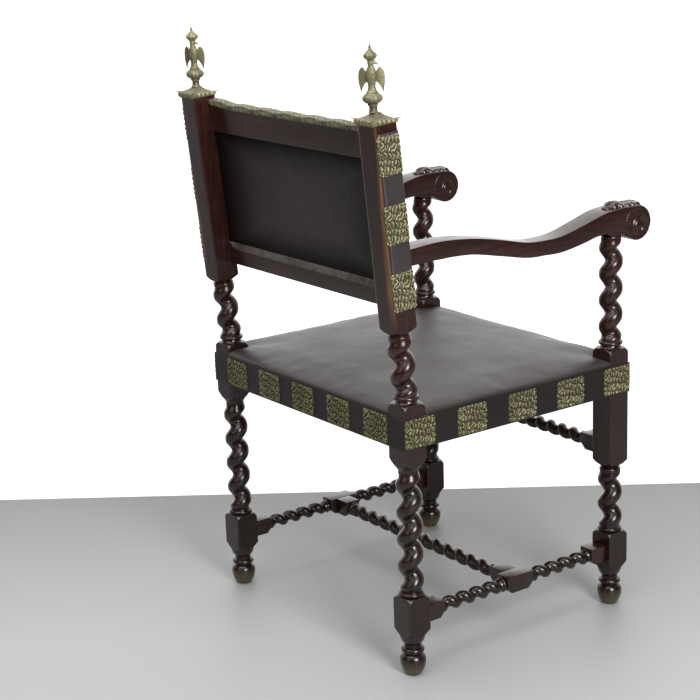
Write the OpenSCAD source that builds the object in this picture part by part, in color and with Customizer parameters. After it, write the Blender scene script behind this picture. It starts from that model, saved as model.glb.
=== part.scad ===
// Renaissance revival armchair: barley-twist posts and stretchers, leather seat and back, brass mounts.
// Millimetres. The floor is z = 0, the chair faces -Y, and the sitter's right is -X.

/* [Plan] */
// Distance between the posts' centres, side to side
span_x = 520; // [440:1:640]
// Distance between the posts' centres, front to back
span_y = 454; // [390:1:540]
// Side of the square stock of the posts
post_side = 44; // [40:1:50]

/* [Feet and lower blocks] */
// Height of the ball foot
ball_h = 38; // [32:1:44]
// Height from the ball to the square edges of the lower block
foot_neck_h = 44; // [40:1:52]
// Height of the square edges of the lower block
block_h = 54; // [46:1:66]
// Height of the flare from the foot's neck to the lower block
foot_flare_h = 28; // [24:1:30]

/* [Barley twist] */
// Radius of the twist over its ridge
twist_r = 21.5; // [17:0.5:22]
// Rise of one turn of the posts' twist
twist_pitch = 47; // [38:0.5:60]
// Depth of the groove as a share of the radius
groove_share = 0.5; // [0.2:0.01:0.52]
// Sharpness of the groove: a higher value is a narrower groove
groove_power = 1.5; // [1.2:0.1:4]
// Direction of the groove in degrees where the legs' twist starts
leg_turn = -113; // [-180:1:180]
// Direction of the groove where the arm supports' twist starts
arm_turn = 38; // [-180:1:180]
// Direction of the groove where the twist under a stile starts
stile_turn = 0; // [-180:1:180]

/* [Stretchers] */
// Height of the lower stretchers' axis above the floor
stretcher_z = 104; // [95:1:115]
// Side of the stretchers' square stock
stretcher_side = 30; // [26:1:34]
// Radius of the stretchers' twist
stretcher_r = 13; // [10:0.5:14]
// Rise of one turn on the side and front stretchers
stretcher_pitch = 30; // [24:0.5:38]
// Rise of one turn on the cross stretcher
cross_pitch = 32.5; // [26:0.5:40]
// Length of the square end of a stretcher
stretcher_end = 36; // [26:1:44]
// Length of the square block at the middle of a side stretcher
middle_block = 56; // [44:1:70]
// Length of the bead beside a stretcher's square part
bead_h = 7; // [5:0.5:9]
// Height of the front stretcher's axis above the lower edge of the front long block
front_stretcher_rise = 21; // [18:1:40]

/* [Seat] */
// Height of the underside of the seat rails
rail_bottom = 400; // [380:1:430]
// Height of the seat rails
rail_h = 44; // [40:1:56]
// Thickness of the seat rails
rail_t = 25; // [20:1:28]
// Thickness of the leather
leather_t = 1.6; // [1.2:0.1:2.4]
// Thickness of the webbing
webbing_t = 1.5; // [1:0.1:2]
// Width of a webbing strap
webbing_w = 52; // [44:1:58]
// Webbing straps each way
straps = 5; // [4:1:6]
// Thickness of the hessian over the webbing
hessian_t = 1; // [0.6:0.1:1.6]
// Height of the stuffing at the seat's edge
edge_h = 3.4; // [2:0.1:6]
// Rise of the stuffing within the rounded edge
roll_h = 13; // [6:0.5:16]
// Width of the rounded edge
roll_w = 18; // [10:1:22]
// Rise of the seat from its edge to its middle
crown_h = 14; // [8:1:24]

/* [Post blocks at the seat] */
// Length of the rear post's square below the rails
rear_block_drop = 16; // [8:1:24]
// Height of the rear post's square above the seat's edge
rear_block_rise = 16; // [10:1:22]
// Length of the front post's square below the rails
front_block_drop = 123; // [100:1:150]
// Height of the front post's square above the seat's edge
front_block_rise = 23; // [14:1:30]
// Height of the long flare under the rear post's square
rear_flare_h = 28; // [20:1:32]
// Height of the short flares under the front post's square
front_flare_h = 20; // [16:1:24]

/* [Back] */
// Backward lean of the back in degrees
rake = 5.3; // [3:0.1:9]
// Length of the turned stretch between the seat block and the square stile
back_gap = 135; // [120:1:160]
// Length of the square stile
stile_len = 325; // [300:1:380]
// Width of the stile, side to side
stile_w = 42; // [38:1:44]
// Thickness of the back rails
back_rail_t = 14; // [12:1:20]
// Height of the top rail
top_rail_h = 49; // [40:1:60]
// Distance from the stile's top down to the top rail
top_rail_drop = 14; // [12:1:20]
// Height of the bottom rail
bottom_rail_h = 39; // [32:1:50]
// Distance from the stile's lower end up to the bottom rail
bottom_rail_lift = 22; // [16:1:30]
// Height of the chamfer on the bottom rail's rear upper edge
chamfer_h = 12; // [8:1:14]
// Rise of the back's padding in front of the frame
back_crown = 10; // [6:1:16]

/* [Arms] */
// Height of the arm's upper face where it meets the stile
arm_top = 729; // [714:1:744]
// Width of the arm at the stile
arm_w = 40; // [36:1:40]
// Thickness of the arm at the stile
arm_thick = 28.5; // [24:0.5:32]
// Height from the arm support up to the arm's upper face
arm_rise = 47; // [42:1:52]
// Width of the arm at the scroll
scroll_w = 46; // [40:1:52]
// Radius of the scroll
scroll_r = 30.5; // [26:0.5:33]
// Distance from the front post's axis forward to the scroll's centre
scroll_reach = 43; // [38:1:50]
// Depth of the dip in the arm's upper face
arm_dip = 30.5; // [20:0.5:34]
// Height of the carved leaf over the scroll
leaf_rise = 10; // [6:0.5:12]

/* [Brass] */
// Length of a plaque
plaque_l = 62.5; // [56:0.5:66]
// Height of a plaque
plaque_h = 49; // [40:1:50]
// Thickness of a plaque
plaque_t = 1.5; // [1:0.1:2.5]
// Plaques in a row on the seat
seat_plaques = 5; // [4:1:6]
// Plaques on a stile
stile_plaques = 3; // [2:1:3]
// Plaques along the top of the back
top_plaques = 7; // [5:1:7]
// Side of the cap plate
cap_side = 48; // [46:1:56]
// Thickness of the cap plate's edge
cap_t = 8.5; // [6:0.5:10]
// Height of the cap plate's hollow roof
cap_roof_h = 9.5; // [7:0.5:14]
// Length of a cap plate's corner spike
cap_tip = 5; // [3:0.5:7]
// Height of the finial above the cap plate
finial_h = 106; // [90:1:125]
// Radius of the finial's stem
stem_r = 6.1; // [5.5:0.1:7]
// Radius of the finial's pot
pot_r = 16; // [13:0.5:18]
// Radius of the bird's body
bird_r = 8.4; // [7:0.1:10]
// Reach of the bird's wings from its middle
wing_reach = 20.5; // [17:0.5:24]
// Radius of the bird's crown
crown_r = 10.8; // [9:0.2:13]
// Direction of the bird's beak from straight ahead, turned towards the sitter's left
bird_turn = -52; // [-180:1:180]

/* [Joinery] */
// Clearance round a tenon, a spigot or a pin
fit = 0.15; // [0.1:0.05:0.3]
// Length of a tenon
tenon_l = 18; // [14:1:20]
// Thickness of a tenon
tenon_t = 10; // [8:1:12]
// Length of the cross stretcher's tenon
cross_tenon_l = 16; // [12:1:20]
// Thickness of the back rails' tenons
back_tenon_t = 6; // [4:0.5:8]
// Radius of a finial's pin
pin_r = 3; // [2:0.5:3.5]
// Length of a finial's pin in the stile
pin_len = 40; // [30:1:50]
// Length of a finial's pin in the finial
pin_up = 22; // [16:1:24]

/* [Hidden] */
$fn = 48;

// Colours of the finishes
wood = [0.20, 0.12, 0.10];
leather = [0.25, 0.22, 0.22];
brass = [0.55, 0.52, 0.34];
jute = [0.72, 0.62, 0.45];
fibre = [0.55, 0.47, 0.35];
steel = [0.6, 0.6, 0.6];

// Overlap that joins two forms of one piece
bite = 0.5;

// Plan
half_x = span_x / 2;
half_y = span_y / 2;
half_post = post_side / 2;
outer_x = half_x + half_post;
outer_y = half_y + half_post;
notch_x = half_x - half_post;
notch_y = half_y - half_post;

// Turned details, as shares of the post's half side
foot_flat_r = half_post * 0.6;
foot_ring_r = half_post * 0.9;
neck_r = half_post * 0.655;
collar_r = half_post * 0.975;
ring_h = 9;
shoulder_drop = 8;
shoulder_h = 5;
cove_h = 5.5;
collar_h = 7;

// Heights on the posts
block_z0 = ball_h + foot_neck_h;
block_z1 = block_z0 + block_h;
lower_twist_z0 = block_z1 + shoulder_h + collar_h;
rail_top = rail_bottom + rail_h;
stuffing_z0 = rail_top + 2 * webbing_t + hessian_t;
edge_z = stuffing_z0 + edge_h + leather_t;
rear_block_z0 = rail_bottom - rear_block_drop;
rear_block_z1 = edge_z + rear_block_rise;
front_block_z0 = rail_bottom - front_block_drop;
front_block_z1 = edge_z + front_block_rise;
front_stretcher_z = front_block_z0 + front_stretcher_rise;
arm_twist_z0 = front_block_z1 + shoulder_h + cove_h + collar_h;
upper_twist_h0 = shoulder_h + cove_h + collar_h;
stile_ogee = 15;
rail_tenon_z = rail_bottom + 6;
rail_tenon_h = rail_h - 16;
stretcher_tenon = stretcher_side * 0.5;
strap_inset = 3;

// The back stands in its own leaning frame, with h along the stiles and q towards the rear
stile_h0 = back_gap;
stile_h1 = stile_h0 + stile_len;
top_rail_h1 = stile_h1 - top_rail_drop;
top_rail_h0 = top_rail_h1 - top_rail_h;
bottom_rail_h0 = stile_h0 + bottom_rail_lift;
bottom_rail_h1 = bottom_rail_h0 + bottom_rail_h;
frame_q = -half_post;
rail_q = frame_q + back_rail_t;
lining_t = 2;
lining_q = rail_q - back_rail_t * 0.36;
open_x = half_x - stile_w / 2;
stile_x = half_x + stile_w / 2;
wrap_h0 = stile_h0 + 28;

// The arm
arm_seat_z = arm_top - arm_rise;
arm_mid_z = arm_top - arm_thick / 2;
stile_front_y = front_of_stile(arm_top);
arm_reach = stile_front_y + half_y;
arm_bead_h = 9;
arm_tenon_h = 16;
spigot_r = 9;
spigot_h = 18;
scroll_y = -half_y - scroll_reach;
scroll_z = arm_top - scroll_r;

// The cap plates and the finials stand upright on the leaning stiles, a little behind their middle
cap_shift = 1.5;
stile_top_y = half_y + stile_h1 * sin(rake) + cap_shift;
stile_top_z = rear_block_z1 + stile_h1 * cos(rake);
cap_h = cap_t + cap_roof_h;
tip_reach = cap_side / 2 + cap_tip * sqrt(0.5);

// The whole is moved so that the middle of its box stands over the origin
front_reach = scroll_y - scroll_r;
rear_reach = stile_top_y + tip_reach;
centre_y = -(front_reach + rear_reach) / 2;

// Plaques
end_spread = 2 * notch_x - plaque_l;
side_spread = 2 * (outer_y + leather_t) - plaque_l;

// Height and depth of a point on the stile's front face
function front_of_stile(z) =
    half_y + (z - rear_block_z1) * tan(rake) - half_post / cos(rake);

function arc(c, r, a0, a1, n = 8) =
    [for (i = [0:n]) let (a = a0 + (a1 - a0) * i / n) [c[0] + r * cos(a), c[1] + r * sin(a)]];

// A smooth curve through hand-set stations
function spline_at(p, i, t) =
    let (
        n = len(p) - 1,
        a = p[max(i - 1, 0)], b = p[i], c = p[i + 1], d = p[min(i + 2, n)]
    )
    0.5 * (2 * b + (c - a) * t + (2 * a - 5 * b + 4 * c - d) * t * t
        + (3 * b - a - 3 * c + d) * t * t * t);
function spline(p, steps = 4) =
    concat([for (i = [0:len(p) - 2]) for (k = [0:steps - 1]) spline_at(p, i, k / steps)],
        [p[len(p) - 1]]);

// Barley twist. A ring's corners turn with the groove, and lie closest where the groove is
post_angles = [0, 20, 42, 70, 105, 145, 180, 215, 255, 290, 318, 340];
stretcher_angles = [0, 24, 52, 92, 140, 180, 220, 268, 308, 336];

function groove(a) = pow((1 + cos(a)) / 2, groove_power);
function fade(z, length, reach) =
    let (t = max(0, min(1, min(z, length - z) / reach)))
    t * t * (3 - 2 * t);
function twist_point(r, length, pitch, phase, z, a) =
    let (
        f = fade(z, length, pitch * 0.35),
        rad = r * (1 - 0.14 * (1 - f)) * (1 - groove_share * groove(a) * f),
        turn = a + phase + 360 * z / pitch
    )
    [rad * cos(turn), rad * sin(turn), z];

module twist(r, length, pitch, phase = 0, angles = post_angles, per_turn = 10) {
    sides = len(angles);
    rings = ceil(length / pitch * per_turn);
    points = [
        for (k = [0:rings]) for (a = angles)
            twist_point(r, length, pitch, phase, length * k / rings, a)
    ];
    walls = [
        for (k = [0:rings - 1]) for (j = [0:sides - 1])
            let (
                a = k * sides + j, b = k * sides + (j + 1) % sides,
                c = a + sides, d = b + sides
            )
            each [[a, c, d], [a, d, b]]
    ];
    foot = [[for (j = [0:sides - 1]) j]];
    head = [[for (j = [sides - 1:-1:0]) rings * sides + j]];
    polyhedron(points = points, faces = concat(foot, walls, head));
}

// Turned forms
module bead(r, h, z) {
    translate([0, 0, z])
        rotate_extrude()
            polygon(concat([[0, 0]], arc([r - h / 2, h / 2], h / 2, -90, 90), [[0, h]]));
}

module foot() {
    widest_z = ball_h * 0.68;
    low = acos(foot_flat_r / half_post);
    high = acos(neck_r / half_post);
    ring_z = ball_h + 1.5;
    rotate_extrude()
        polygon(concat(
            [[0, 0]],
            [for (i = [0:6]) let (a = -low + low * i / 6)
                [half_post * cos(a), widest_z + widest_z * sin(a) / sin(low)]],
            [for (i = [1:5]) let (a = high * i / 5)
                [half_post * cos(a), widest_z + (ball_h - widest_z) * sin(a) / sin(high)]],
            [[neck_r, ring_z]],
            arc([foot_ring_r - ring_h / 2, ring_z + ring_h / 2], ring_h / 2, -90, 90, 6),
            [[neck_r, ring_z + ring_h], [neck_r, block_z0 - foot_flare_h + bite],
                [0, block_z0 - foot_flare_h + bite]]
        ));
}

// Flares from a neck out to a block's corners: height as a share of the flare, radius as a share of the
// half side
corner_share = 1.43;
foot_flare = [
    [0, 0.655], [0.14, 0.77], [0.29, 0.89], [0.5, 0.975], [0.61, 1.02], [0.79, 1.19], [1, corner_share]
];
function ogee(neck) =
    [for (i = [0:6]) let (t = i / 6) [t, neck + (corner_share - neck) * t * t * (3 - 2 * t)]];

// A square length of the post between a flare and a round shoulder, which cut its corners
module square_block(z0, z1, flare, flare_h, cove) {
    foot_z = z0 - flare_h;
    head_z = z1 + shoulder_h + cove;
    corner = half_post * corner_share;
    top = half_post * 0.91;
    waist = half_post * 0.77;
    round_z = z1 - shoulder_drop;
    round_h = shoulder_drop + shoulder_h;
    hollow = [[waist + (top - waist) * 0.3, z1 + shoulder_h + cove * 0.3], [waist, head_z]];
    intersection() {
        translate([-half_post, -half_post, foot_z])
            cube([post_side, post_side, head_z - foot_z]);
        rotate_extrude()
            polygon(concat(
                [[0, foot_z]],
                [for (p = flare) [half_post * p[1], foot_z + flare_h * p[0]]],
                [for (i = [0:5]) let (a = 90 * i / 5)
                    [top + (corner - top) * cos(a), round_z + round_h * sin(a)]],
                cove > 0 ? hollow : [],
                [[0, head_z]]
            ));
    }
}

// Pockets for the tenons
module pocket(size) {
    translate([-size[0] / 2, -size[1] / 2, 0])
        cube(size);
}

// Tenons of the seat rails lie near the outer faces, so that the two in one post pass each other
module rail_pockets(front, left) {
    x = left * (outer_x - rail_t / 2);
    y = front * (outer_y - rail_t / 2);
    depth = tenon_l + fit;
    wide = tenon_t + 2 * fit;
    high = rail_tenon_h + 2 * fit;
    translate([left * (notch_x + depth / 2 - bite), y, rail_tenon_z - fit])
        pocket([depth + 2 * bite, wide, high]);
    translate([x, front * (notch_y + depth / 2 - bite), rail_tenon_z - fit])
        pocket([wide, depth + 2 * bite, high]);
}

module stretcher_pocket_y(front, z) {
    depth = tenon_l + fit;
    high = stretcher_tenon + 2 * fit;
    translate([0, front * (notch_y + depth / 2 - bite), z - high / 2])
        pocket([tenon_t + 2 * fit, depth + 2 * bite, high]);
}

module stretcher_pocket_x(left, z) {
    depth = tenon_l + fit;
    high = stretcher_tenon + 2 * fit;
    translate([left * (notch_x + depth / 2 - bite), 0, z - high / 2])
        pocket([depth + 2 * bite, tenon_t + 2 * fit, high]);
}

module lower_leg(twist_z1) {
    foot();
    square_block(block_z0, block_z1, foot_flare, foot_flare_h, 0);
    bead(collar_r, collar_h, block_z1 + shoulder_h - bite);
    translate([0, 0, lower_twist_z0 - 2 * bite])
        twist(twist_r, twist_z1 - lower_twist_z0 + 3 * bite, twist_pitch, leg_turn);
}

// The back's leaning frame
module raked() {
    translate([0, half_y, rear_block_z1])
        rotate([-rake, 0, 0])
            children();
}

// Children stand upright on the top of a stile
module on_stile() {
    translate([0, stile_top_y, stile_top_z])
        children();
}

module stile() {
    foot_h = stile_h0 - stile_ogee;
    intersection() {
        translate([-stile_w / 2, -half_post, foot_h])
            cube([stile_w, post_side, stile_len + stile_ogee]);
        rotate_extrude()
            polygon(concat(
                [[0, foot_h]],
                [for (p = ogee(0.72)) [half_post * p[1], foot_h + stile_ogee * p[0]]],
                [[half_post * corner_share, stile_h1], [0, stile_h1]]
            ));
    }
}

module back_pockets(left) {
    depth = tenon_l + fit;
    x = -left * (stile_w / 2 - depth / 2 + bite);
    for (h = [[bottom_rail_h0, bottom_rail_h], [top_rail_h0, top_rail_h]])
        translate([x, frame_q + back_rail_t / 2, h[0] + h[1] * 0.2 - fit])
            pocket([depth + 2 * bite, back_tenon_t + 2 * fit, h[1] * 0.6 + 2 * fit]);
}

module rear_post(left) {
    color(wood)
        translate([left * half_x, centre_y, 0])
            difference() {
                union() {
                    translate([0, half_y, 0]) {
                        lower_leg(rear_block_z0 - rear_flare_h);
                        square_block(rear_block_z0, rear_block_z1, ogee(0.73), rear_flare_h, cove_h);
                    }
                    raked() {
                        bead(collar_r, collar_h, shoulder_h + cove_h - bite);
                        translate([0, 0, upper_twist_h0 - 2 * bite])
                            twist(twist_r, stile_h0 - stile_ogee - upper_twist_h0 - 4 + 2 * bite,
                                twist_pitch, stile_turn);
                        bead(collar_r * 0.84, 6, stile_h0 - stile_ogee - 5.5);
                        stile();
                    }
                }
                translate([-left * half_x, 0, 0])
                    rail_pockets(1, left);
                stretcher_pocket_y(1, stretcher_z);
                raked()
                    back_pockets(left);
                on_stile()
                    translate([0, 0, -pin_len - fit])
                        cylinder(r = pin_r + fit, h = pin_len + pin_up);
                arm_tenon(fit);
            }
}

module front_post(left) {
    arm_twist_top = arm_seat_z - arm_bead_h;
    color(wood)
        translate([left * half_x, centre_y, 0])
            difference() {
                union() {
                    translate([0, -half_y, 0]) {
                        lower_leg(front_block_z0 - front_flare_h);
                        bead(collar_r * 0.88, 6, front_block_z0 - front_flare_h - 3);
                        square_block(front_block_z0, front_block_z1, ogee(0.68), front_flare_h, cove_h);
                        bead(collar_r, collar_h, front_block_z1 + shoulder_h + cove_h - bite);
                        translate([0, 0, arm_twist_z0 - 2 * bite])
                            twist(twist_r * 0.97, arm_twist_top - arm_twist_z0 + 3 * bite,
                                twist_pitch, arm_turn);
                        bead(half_post * 0.8, arm_bead_h, arm_twist_top);
                        translate([0, 0, arm_seat_z - bite])
                            cylinder(r = spigot_r, h = spigot_h + bite);
                    }
                }
                translate([-left * half_x, 0, 0])
                    rail_pockets(-1, left);
                stretcher_pocket_y(-1, stretcher_z);
                translate([0, -half_y, 0])
                    translate([-left * half_x, 0, 0])
                        stretcher_pocket_x(left, front_stretcher_z);
            }
}

// Stretchers. Each is laid along Z from its middle and then turned to its place
module stretcher_block(z0, z1) {
    s = stretcher_side;
    translate([-s / 2, -s / 2, z0])
        cube([s, s, z1 - z0]);
}

// A square end with its lower edge sloped away, and its tenon
module stretcher_end(z0, z1, tenon) {
    s = stretcher_side;
    slope = s * 0.3;
    rotate([90, 0, 90])
        translate([0, 0, -s / 2])
            linear_extrude(s)
                polygon([
                    [-s / 2, z1], [-s / 2, z0 + slope], [-s / 2 + slope, z0], [s / 2, z0], [s / 2, z1]
                ]);
    if (tenon)
        translate([-tenon_t / 2, -stretcher_tenon / 2, z1 - bite])
            cube([tenon_t, stretcher_tenon, tenon_l + bite]);
}

// Its ends lie in the middle of the beads that stand at z0 and z1
module twist_between(z0, z1, pitch, phase = 0) {
    translate([0, 0, z0])
        twist(stretcher_r, z1 - z0, pitch, phase, stretcher_angles, 8);
}

module half_side_stretcher() {
    end0 = notch_y - stretcher_end;
    bead(stretcher_r * 0.98, bead_h, middle_block / 2 - bite);
    twist_between(middle_block / 2 + bead_h / 2, end0 + bite, stretcher_pitch);
    stretcher_end(end0, notch_y, true);
}

module side_stretcher(left) {
    s = stretcher_side;
    slope = s * 0.3;
    depth = cross_tenon_l + fit;
    color(wood)
        translate([left * half_x, centre_y, stretcher_z])
            difference() {
                union() {
                    rotate([90, 0, 0])
                        half_side_stretcher();
                    rotate([90, 0, 180])
                        half_side_stretcher();
                    rotate([90, 0, 90])
                        translate([0, 0, -s / 2])
                            linear_extrude(s)
                                polygon([
                                    [-middle_block / 2, s / 2], [-middle_block / 2, -s / 2 + slope],
                                    [-middle_block / 2 + slope, -s / 2], [middle_block / 2 - slope, -s / 2],
                                    [middle_block / 2, -s / 2 + slope], [middle_block / 2, s / 2]
                                ]);
                }
                translate([-left * (s - depth + 2 * bite) / 2, 0, -stretcher_tenon / 2 - fit])
                    pocket([depth + 2 * bite, tenon_t + 2 * fit, stretcher_tenon + 2 * fit]);
            }
}

// The cross stretcher and the front stretcher lie along X
module cross_stretcher() {
    s = stretcher_side;
    reach = half_x - s / 2;
    end0 = reach - stretcher_end * 0.9;
    color(wood)
        translate([0, centre_y, stretcher_z]) {
            rotate([0, 90, 0])
                twist_between(-end0 + bead_h / 2, end0 - bead_h / 2, cross_pitch);
            for (side = [-1, 1])
                rotate([90, 0, side * 90]) {
                    bead(stretcher_r * 0.98, bead_h, end0 - bead_h + bite);
                    stretcher_block(end0, reach);
                    translate([-tenon_t / 2, -stretcher_tenon / 2, reach - bite])
                        cube([tenon_t, stretcher_tenon, cross_tenon_l + bite]);
                }
        }
}

module front_stretcher() {
    reach = notch_x;
    end0 = reach - stretcher_end;
    color(wood)
        translate([0, -half_y + centre_y, front_stretcher_z]) {
            rotate([0, 90, 0])
                twist_between(-end0 + bead_h / 2, end0 - bead_h / 2, stretcher_pitch);
            for (side = [-1, 1])
                rotate([90, 0, side * 90]) {
                    bead(stretcher_r * 0.98, bead_h, end0 - bead_h + bite);
                    stretcher_end(end0, reach, true);
                }
        }
}

// Seat rails, with their upper outer edge eased under the leather
module rail(length) {
    ease = 3;
    rotate([90, 0, 90])
        translate([0, 0, -length / 2])
            linear_extrude(length)
                polygon([
                    [-rail_t / 2, 0], [rail_t / 2, 0], [rail_t / 2, rail_h - ease],
                    [rail_t / 2 - ease, rail_h], [-rail_t / 2, rail_h]
                ]);
    for (side = [-1, 1])
        translate([side * (length / 2 + tenon_l / 2 - bite / 2), 0, 6])
            pocket([tenon_l + bite, tenon_t, rail_tenon_h]);
}

module seat_rail_x(front) {
    color(wood)
        translate([0, front * (outer_y - rail_t / 2) + centre_y, rail_bottom])
            rotate([0, 0, front > 0 ? 0 : 180])
                rail(2 * notch_x);
}

module seat_rail_y(left) {
    color(wood)
        translate([left * (outer_x - rail_t / 2), centre_y, rail_bottom])
            rotate([0, 0, left > 0 ? -90 : 90])
                rail(2 * notch_y);
}

// A brace glued into the corner of the rails, cut away round the post
module corner_block(left, front) {
    leg = 58;
    in_x = outer_x - rail_t;
    in_y = outer_y - rail_t;
    block_drop = 12;
    color(wood)
        translate([0, centre_y, rail_bottom + block_drop])
            scale([left, front, 1])
                linear_extrude(rail_h - 2 * block_drop)
                    polygon([
                        [notch_x, notch_y], [notch_x, in_y], [notch_x - leg * 0.3, in_y],
                        [in_x - leg * 1.5, in_y], [in_x - leg * 1.5, in_y - 8],
                        [in_x - 8, in_y - leg * 1.5], [in_x, in_y - leg * 1.5], [in_x, notch_y]
                    ]);
}

// Webbing: the lengthwise straps lie on the rails and the crosswise ones over them, ends folded double
module strap(length, z0, fold_z) {
    fold = rail_t * 0.8;
    translate([-webbing_w / 2, -length / 2, z0])
        cube([webbing_w, length, webbing_t]);
    for (side = [-1, 1])
        translate([-webbing_w / 2, side * (length / 2 - fold / 2) - fold / 2, fold_z])
            cube([webbing_w, fold, webbing_t]);
}

module webbing_lengthwise() {
    gap = 2 * (notch_x - webbing_w / 2 - 16) / (straps - 1);
    color(jute)
        translate([0, centre_y, rail_top])
            for (i = [0:straps - 1])
                translate([(i - (straps - 1) / 2) * gap, 0, 0])
                    strap(2 * (outer_y - strap_inset), 0, webbing_t);
}

module webbing_crosswise() {
    gap = 2 * (notch_y - webbing_w / 2 - 16) / (straps - 1);
    color(jute)
        translate([0, centre_y, rail_top])
            for (i = [0:straps - 1])
                translate([0, (i - (straps - 1) / 2) * gap, 0])
                    rotate([0, 0, 90])
                        strap(2 * (outer_x - strap_inset), webbing_t, 0);
}

// The seat's outline is a rectangle with the four posts notched out
module seat_outline(inset) {
    x1 = outer_x - inset;
    y1 = outer_y - inset;
    nx = notch_x - fit;
    ny = notch_y - fit;
    difference() {
        square([2 * x1, 2 * y1], center = true);
        for (sx = [-1, 1], sy = [-1, 1])
            translate([sx * (nx + post_side), sy * (ny + post_side)])
                square([2 * post_side, 2 * post_side], center = true);
    }
}

module seat_hessian() {
    color(jute)
        translate([0, centre_y, rail_top + 2 * webbing_t])
            linear_extrude(hessian_t)
                seat_outline(strap_inset);
}

// Lines of the seat's surface grid from one edge to the other, closer at the rounded edge
function grid_lines(edge, notch, inner) =
    let (
        near = [0, 0.08, 0.25, 0.55, 1],
        outside = [for (t = near) edge - roll_w * t],
        half = concat(outside, [notch], [for (t = [0.985, 0.93]) notch * t],
            [for (i = [inner:-1:1]) notch * 0.93 * i / (inner + 1)])
    )
    concat([for (v = half) -v], [0], [for (i = [len(half) - 1:-1:0]) half[i]]);

function seat_rise(x, y, ex, ey) =
    let (
        ax = abs(x), ay = abs(y),
        dx = max(0, notch_x - ax), dy = max(0, notch_y - ay),
        to_edge = min(ex - ax, ey - ay),
        to_post = norm([dx, dy]),
        d = min(min(to_edge, to_post + roll_w * 0.25), roll_w) / roll_w,
        round_off = sqrt(max(0, 1 - (1 - d) * (1 - d))),
        u = ax / ex,
        v = ay / ey
    )
    roll_h * round_off + crown_h * (1 - u * u) * (1 - v * v);

// A crowned sheet or pad over the notched outline, from a lower to an upper surface
module crowned(ex, ey, low, high, solid_foot) {
    xs = grid_lines(ex, notch_x - fit, 3);
    ys = grid_lines(ey, notch_y - fit, 3);
    nx = len(xs);
    ny = len(ys);
    top = [for (y = ys) for (x = xs) [x, y, high + seat_rise(x, y, ex, ey)]];
    foot = [for (y = ys) for (x = xs) [x, y, low + (solid_foot ? 0 : seat_rise(x, y, ex, ey))]];
    n = nx * ny;
    inside = function(i, j)
        i >= 0 && j >= 0 && i < nx - 1 && j < ny - 1
        && (abs(xs[i] + xs[i + 1]) / 2 < notch_x - fit || abs(ys[j] + ys[j + 1]) / 2 < notch_y - fit);
    cells = [for (j = [0:ny - 2]) for (i = [0:nx - 2]) if (inside(i, j)) [i, j]];
    faces = [
        for (c = cells)
            let (
                i = c[0], j = c[1],
                a = j * nx + i, b = a + 1, e = a + nx, f = e + 1
            )
            each concat(
                [[a, e, f], [a, f, b], [n + a, n + b, n + f], [n + a, n + f, n + e]],
                inside(i, j - 1) ? [] : [[a, b, n + b], [a, n + b, n + a]],
                inside(i, j + 1) ? [] : [[f, e, n + e], [f, n + e, n + f]],
                inside(i - 1, j) ? [] : [[e, a, n + a], [e, n + a, n + e]],
                inside(i + 1, j) ? [] : [[b, f, n + f], [b, n + f, n + b]]
            )
    ];
    polyhedron(points = concat(top, foot), faces = faces);
}

module seat_stuffing() {
    color(fibre)
        translate([0, centre_y, 0])
            crowned(outer_x, outer_y, stuffing_z0, stuffing_z0 + edge_h, true);
}

module seat_leather() {
    color(leather)
        translate([0, centre_y, 0]) {
            crowned(outer_x + leather_t / 2, outer_y + leather_t / 2,
                edge_z - leather_t, edge_z, false);
            translate([0, 0, rail_bottom])
                linear_extrude(edge_z - rail_bottom)
                    difference() {
                        square([2 * (outer_x + leather_t), 2 * (outer_y + leather_t)], center = true);
                        square([2 * outer_x, 2 * outer_y], center = true);
                    }
        }
}

// Back rails between the stiles, flush with the stiles' front faces
module back_rail(h0, high, chamfer) {
    h1 = h0 + high;
    rotate([90, 0, 90])
        translate([0, 0, -open_x])
            linear_extrude(2 * open_x)
                polygon(concat(
                    [[frame_q, h0], [rail_q, h0]],
                    chamfer > 0 ? [[rail_q, h1 - chamfer], [lining_q, h1]] : [[rail_q, h1]],
                    [[frame_q, h1]]
                ));
    for (side = [-1, 1])
        translate([side * (open_x + tenon_l / 2 - bite / 2), frame_q + back_rail_t / 2, h0 + high * 0.2])
            pocket([tenon_l + bite, back_tenon_t, high * 0.6]);
}

module back_top_rail() {
    color(wood)
        translate([0, centre_y, 0])
            raked()
                back_rail(top_rail_h0, top_rail_h, 0);
}

module back_bottom_rail() {
    color(wood)
        translate([0, centre_y, 0])
            raked()
                back_rail(bottom_rail_h0, bottom_rail_h, chamfer_h);
}

module back_lining() {
    color(leather)
        translate([0, centre_y, 0])
            raked()
                translate([-open_x, lining_q - lining_t, bottom_rail_h1])
                    cube([2 * open_x, lining_t, top_rail_h0 - bottom_rail_h1]);
}

// The back's padding and leather bulge forward over the opening
function back_rise(x, h) =
    let (
        u = x / open_x,
        v = (h - (bottom_rail_h1 + top_rail_h0) / 2) / ((top_rail_h0 - bottom_rail_h1) / 2)
    )
    abs(u) >= 1 || abs(v) >= 1 ? 0
    : back_crown * pow(1 - u * u, 0.6) * pow(1 - v * v, 0.6);

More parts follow.
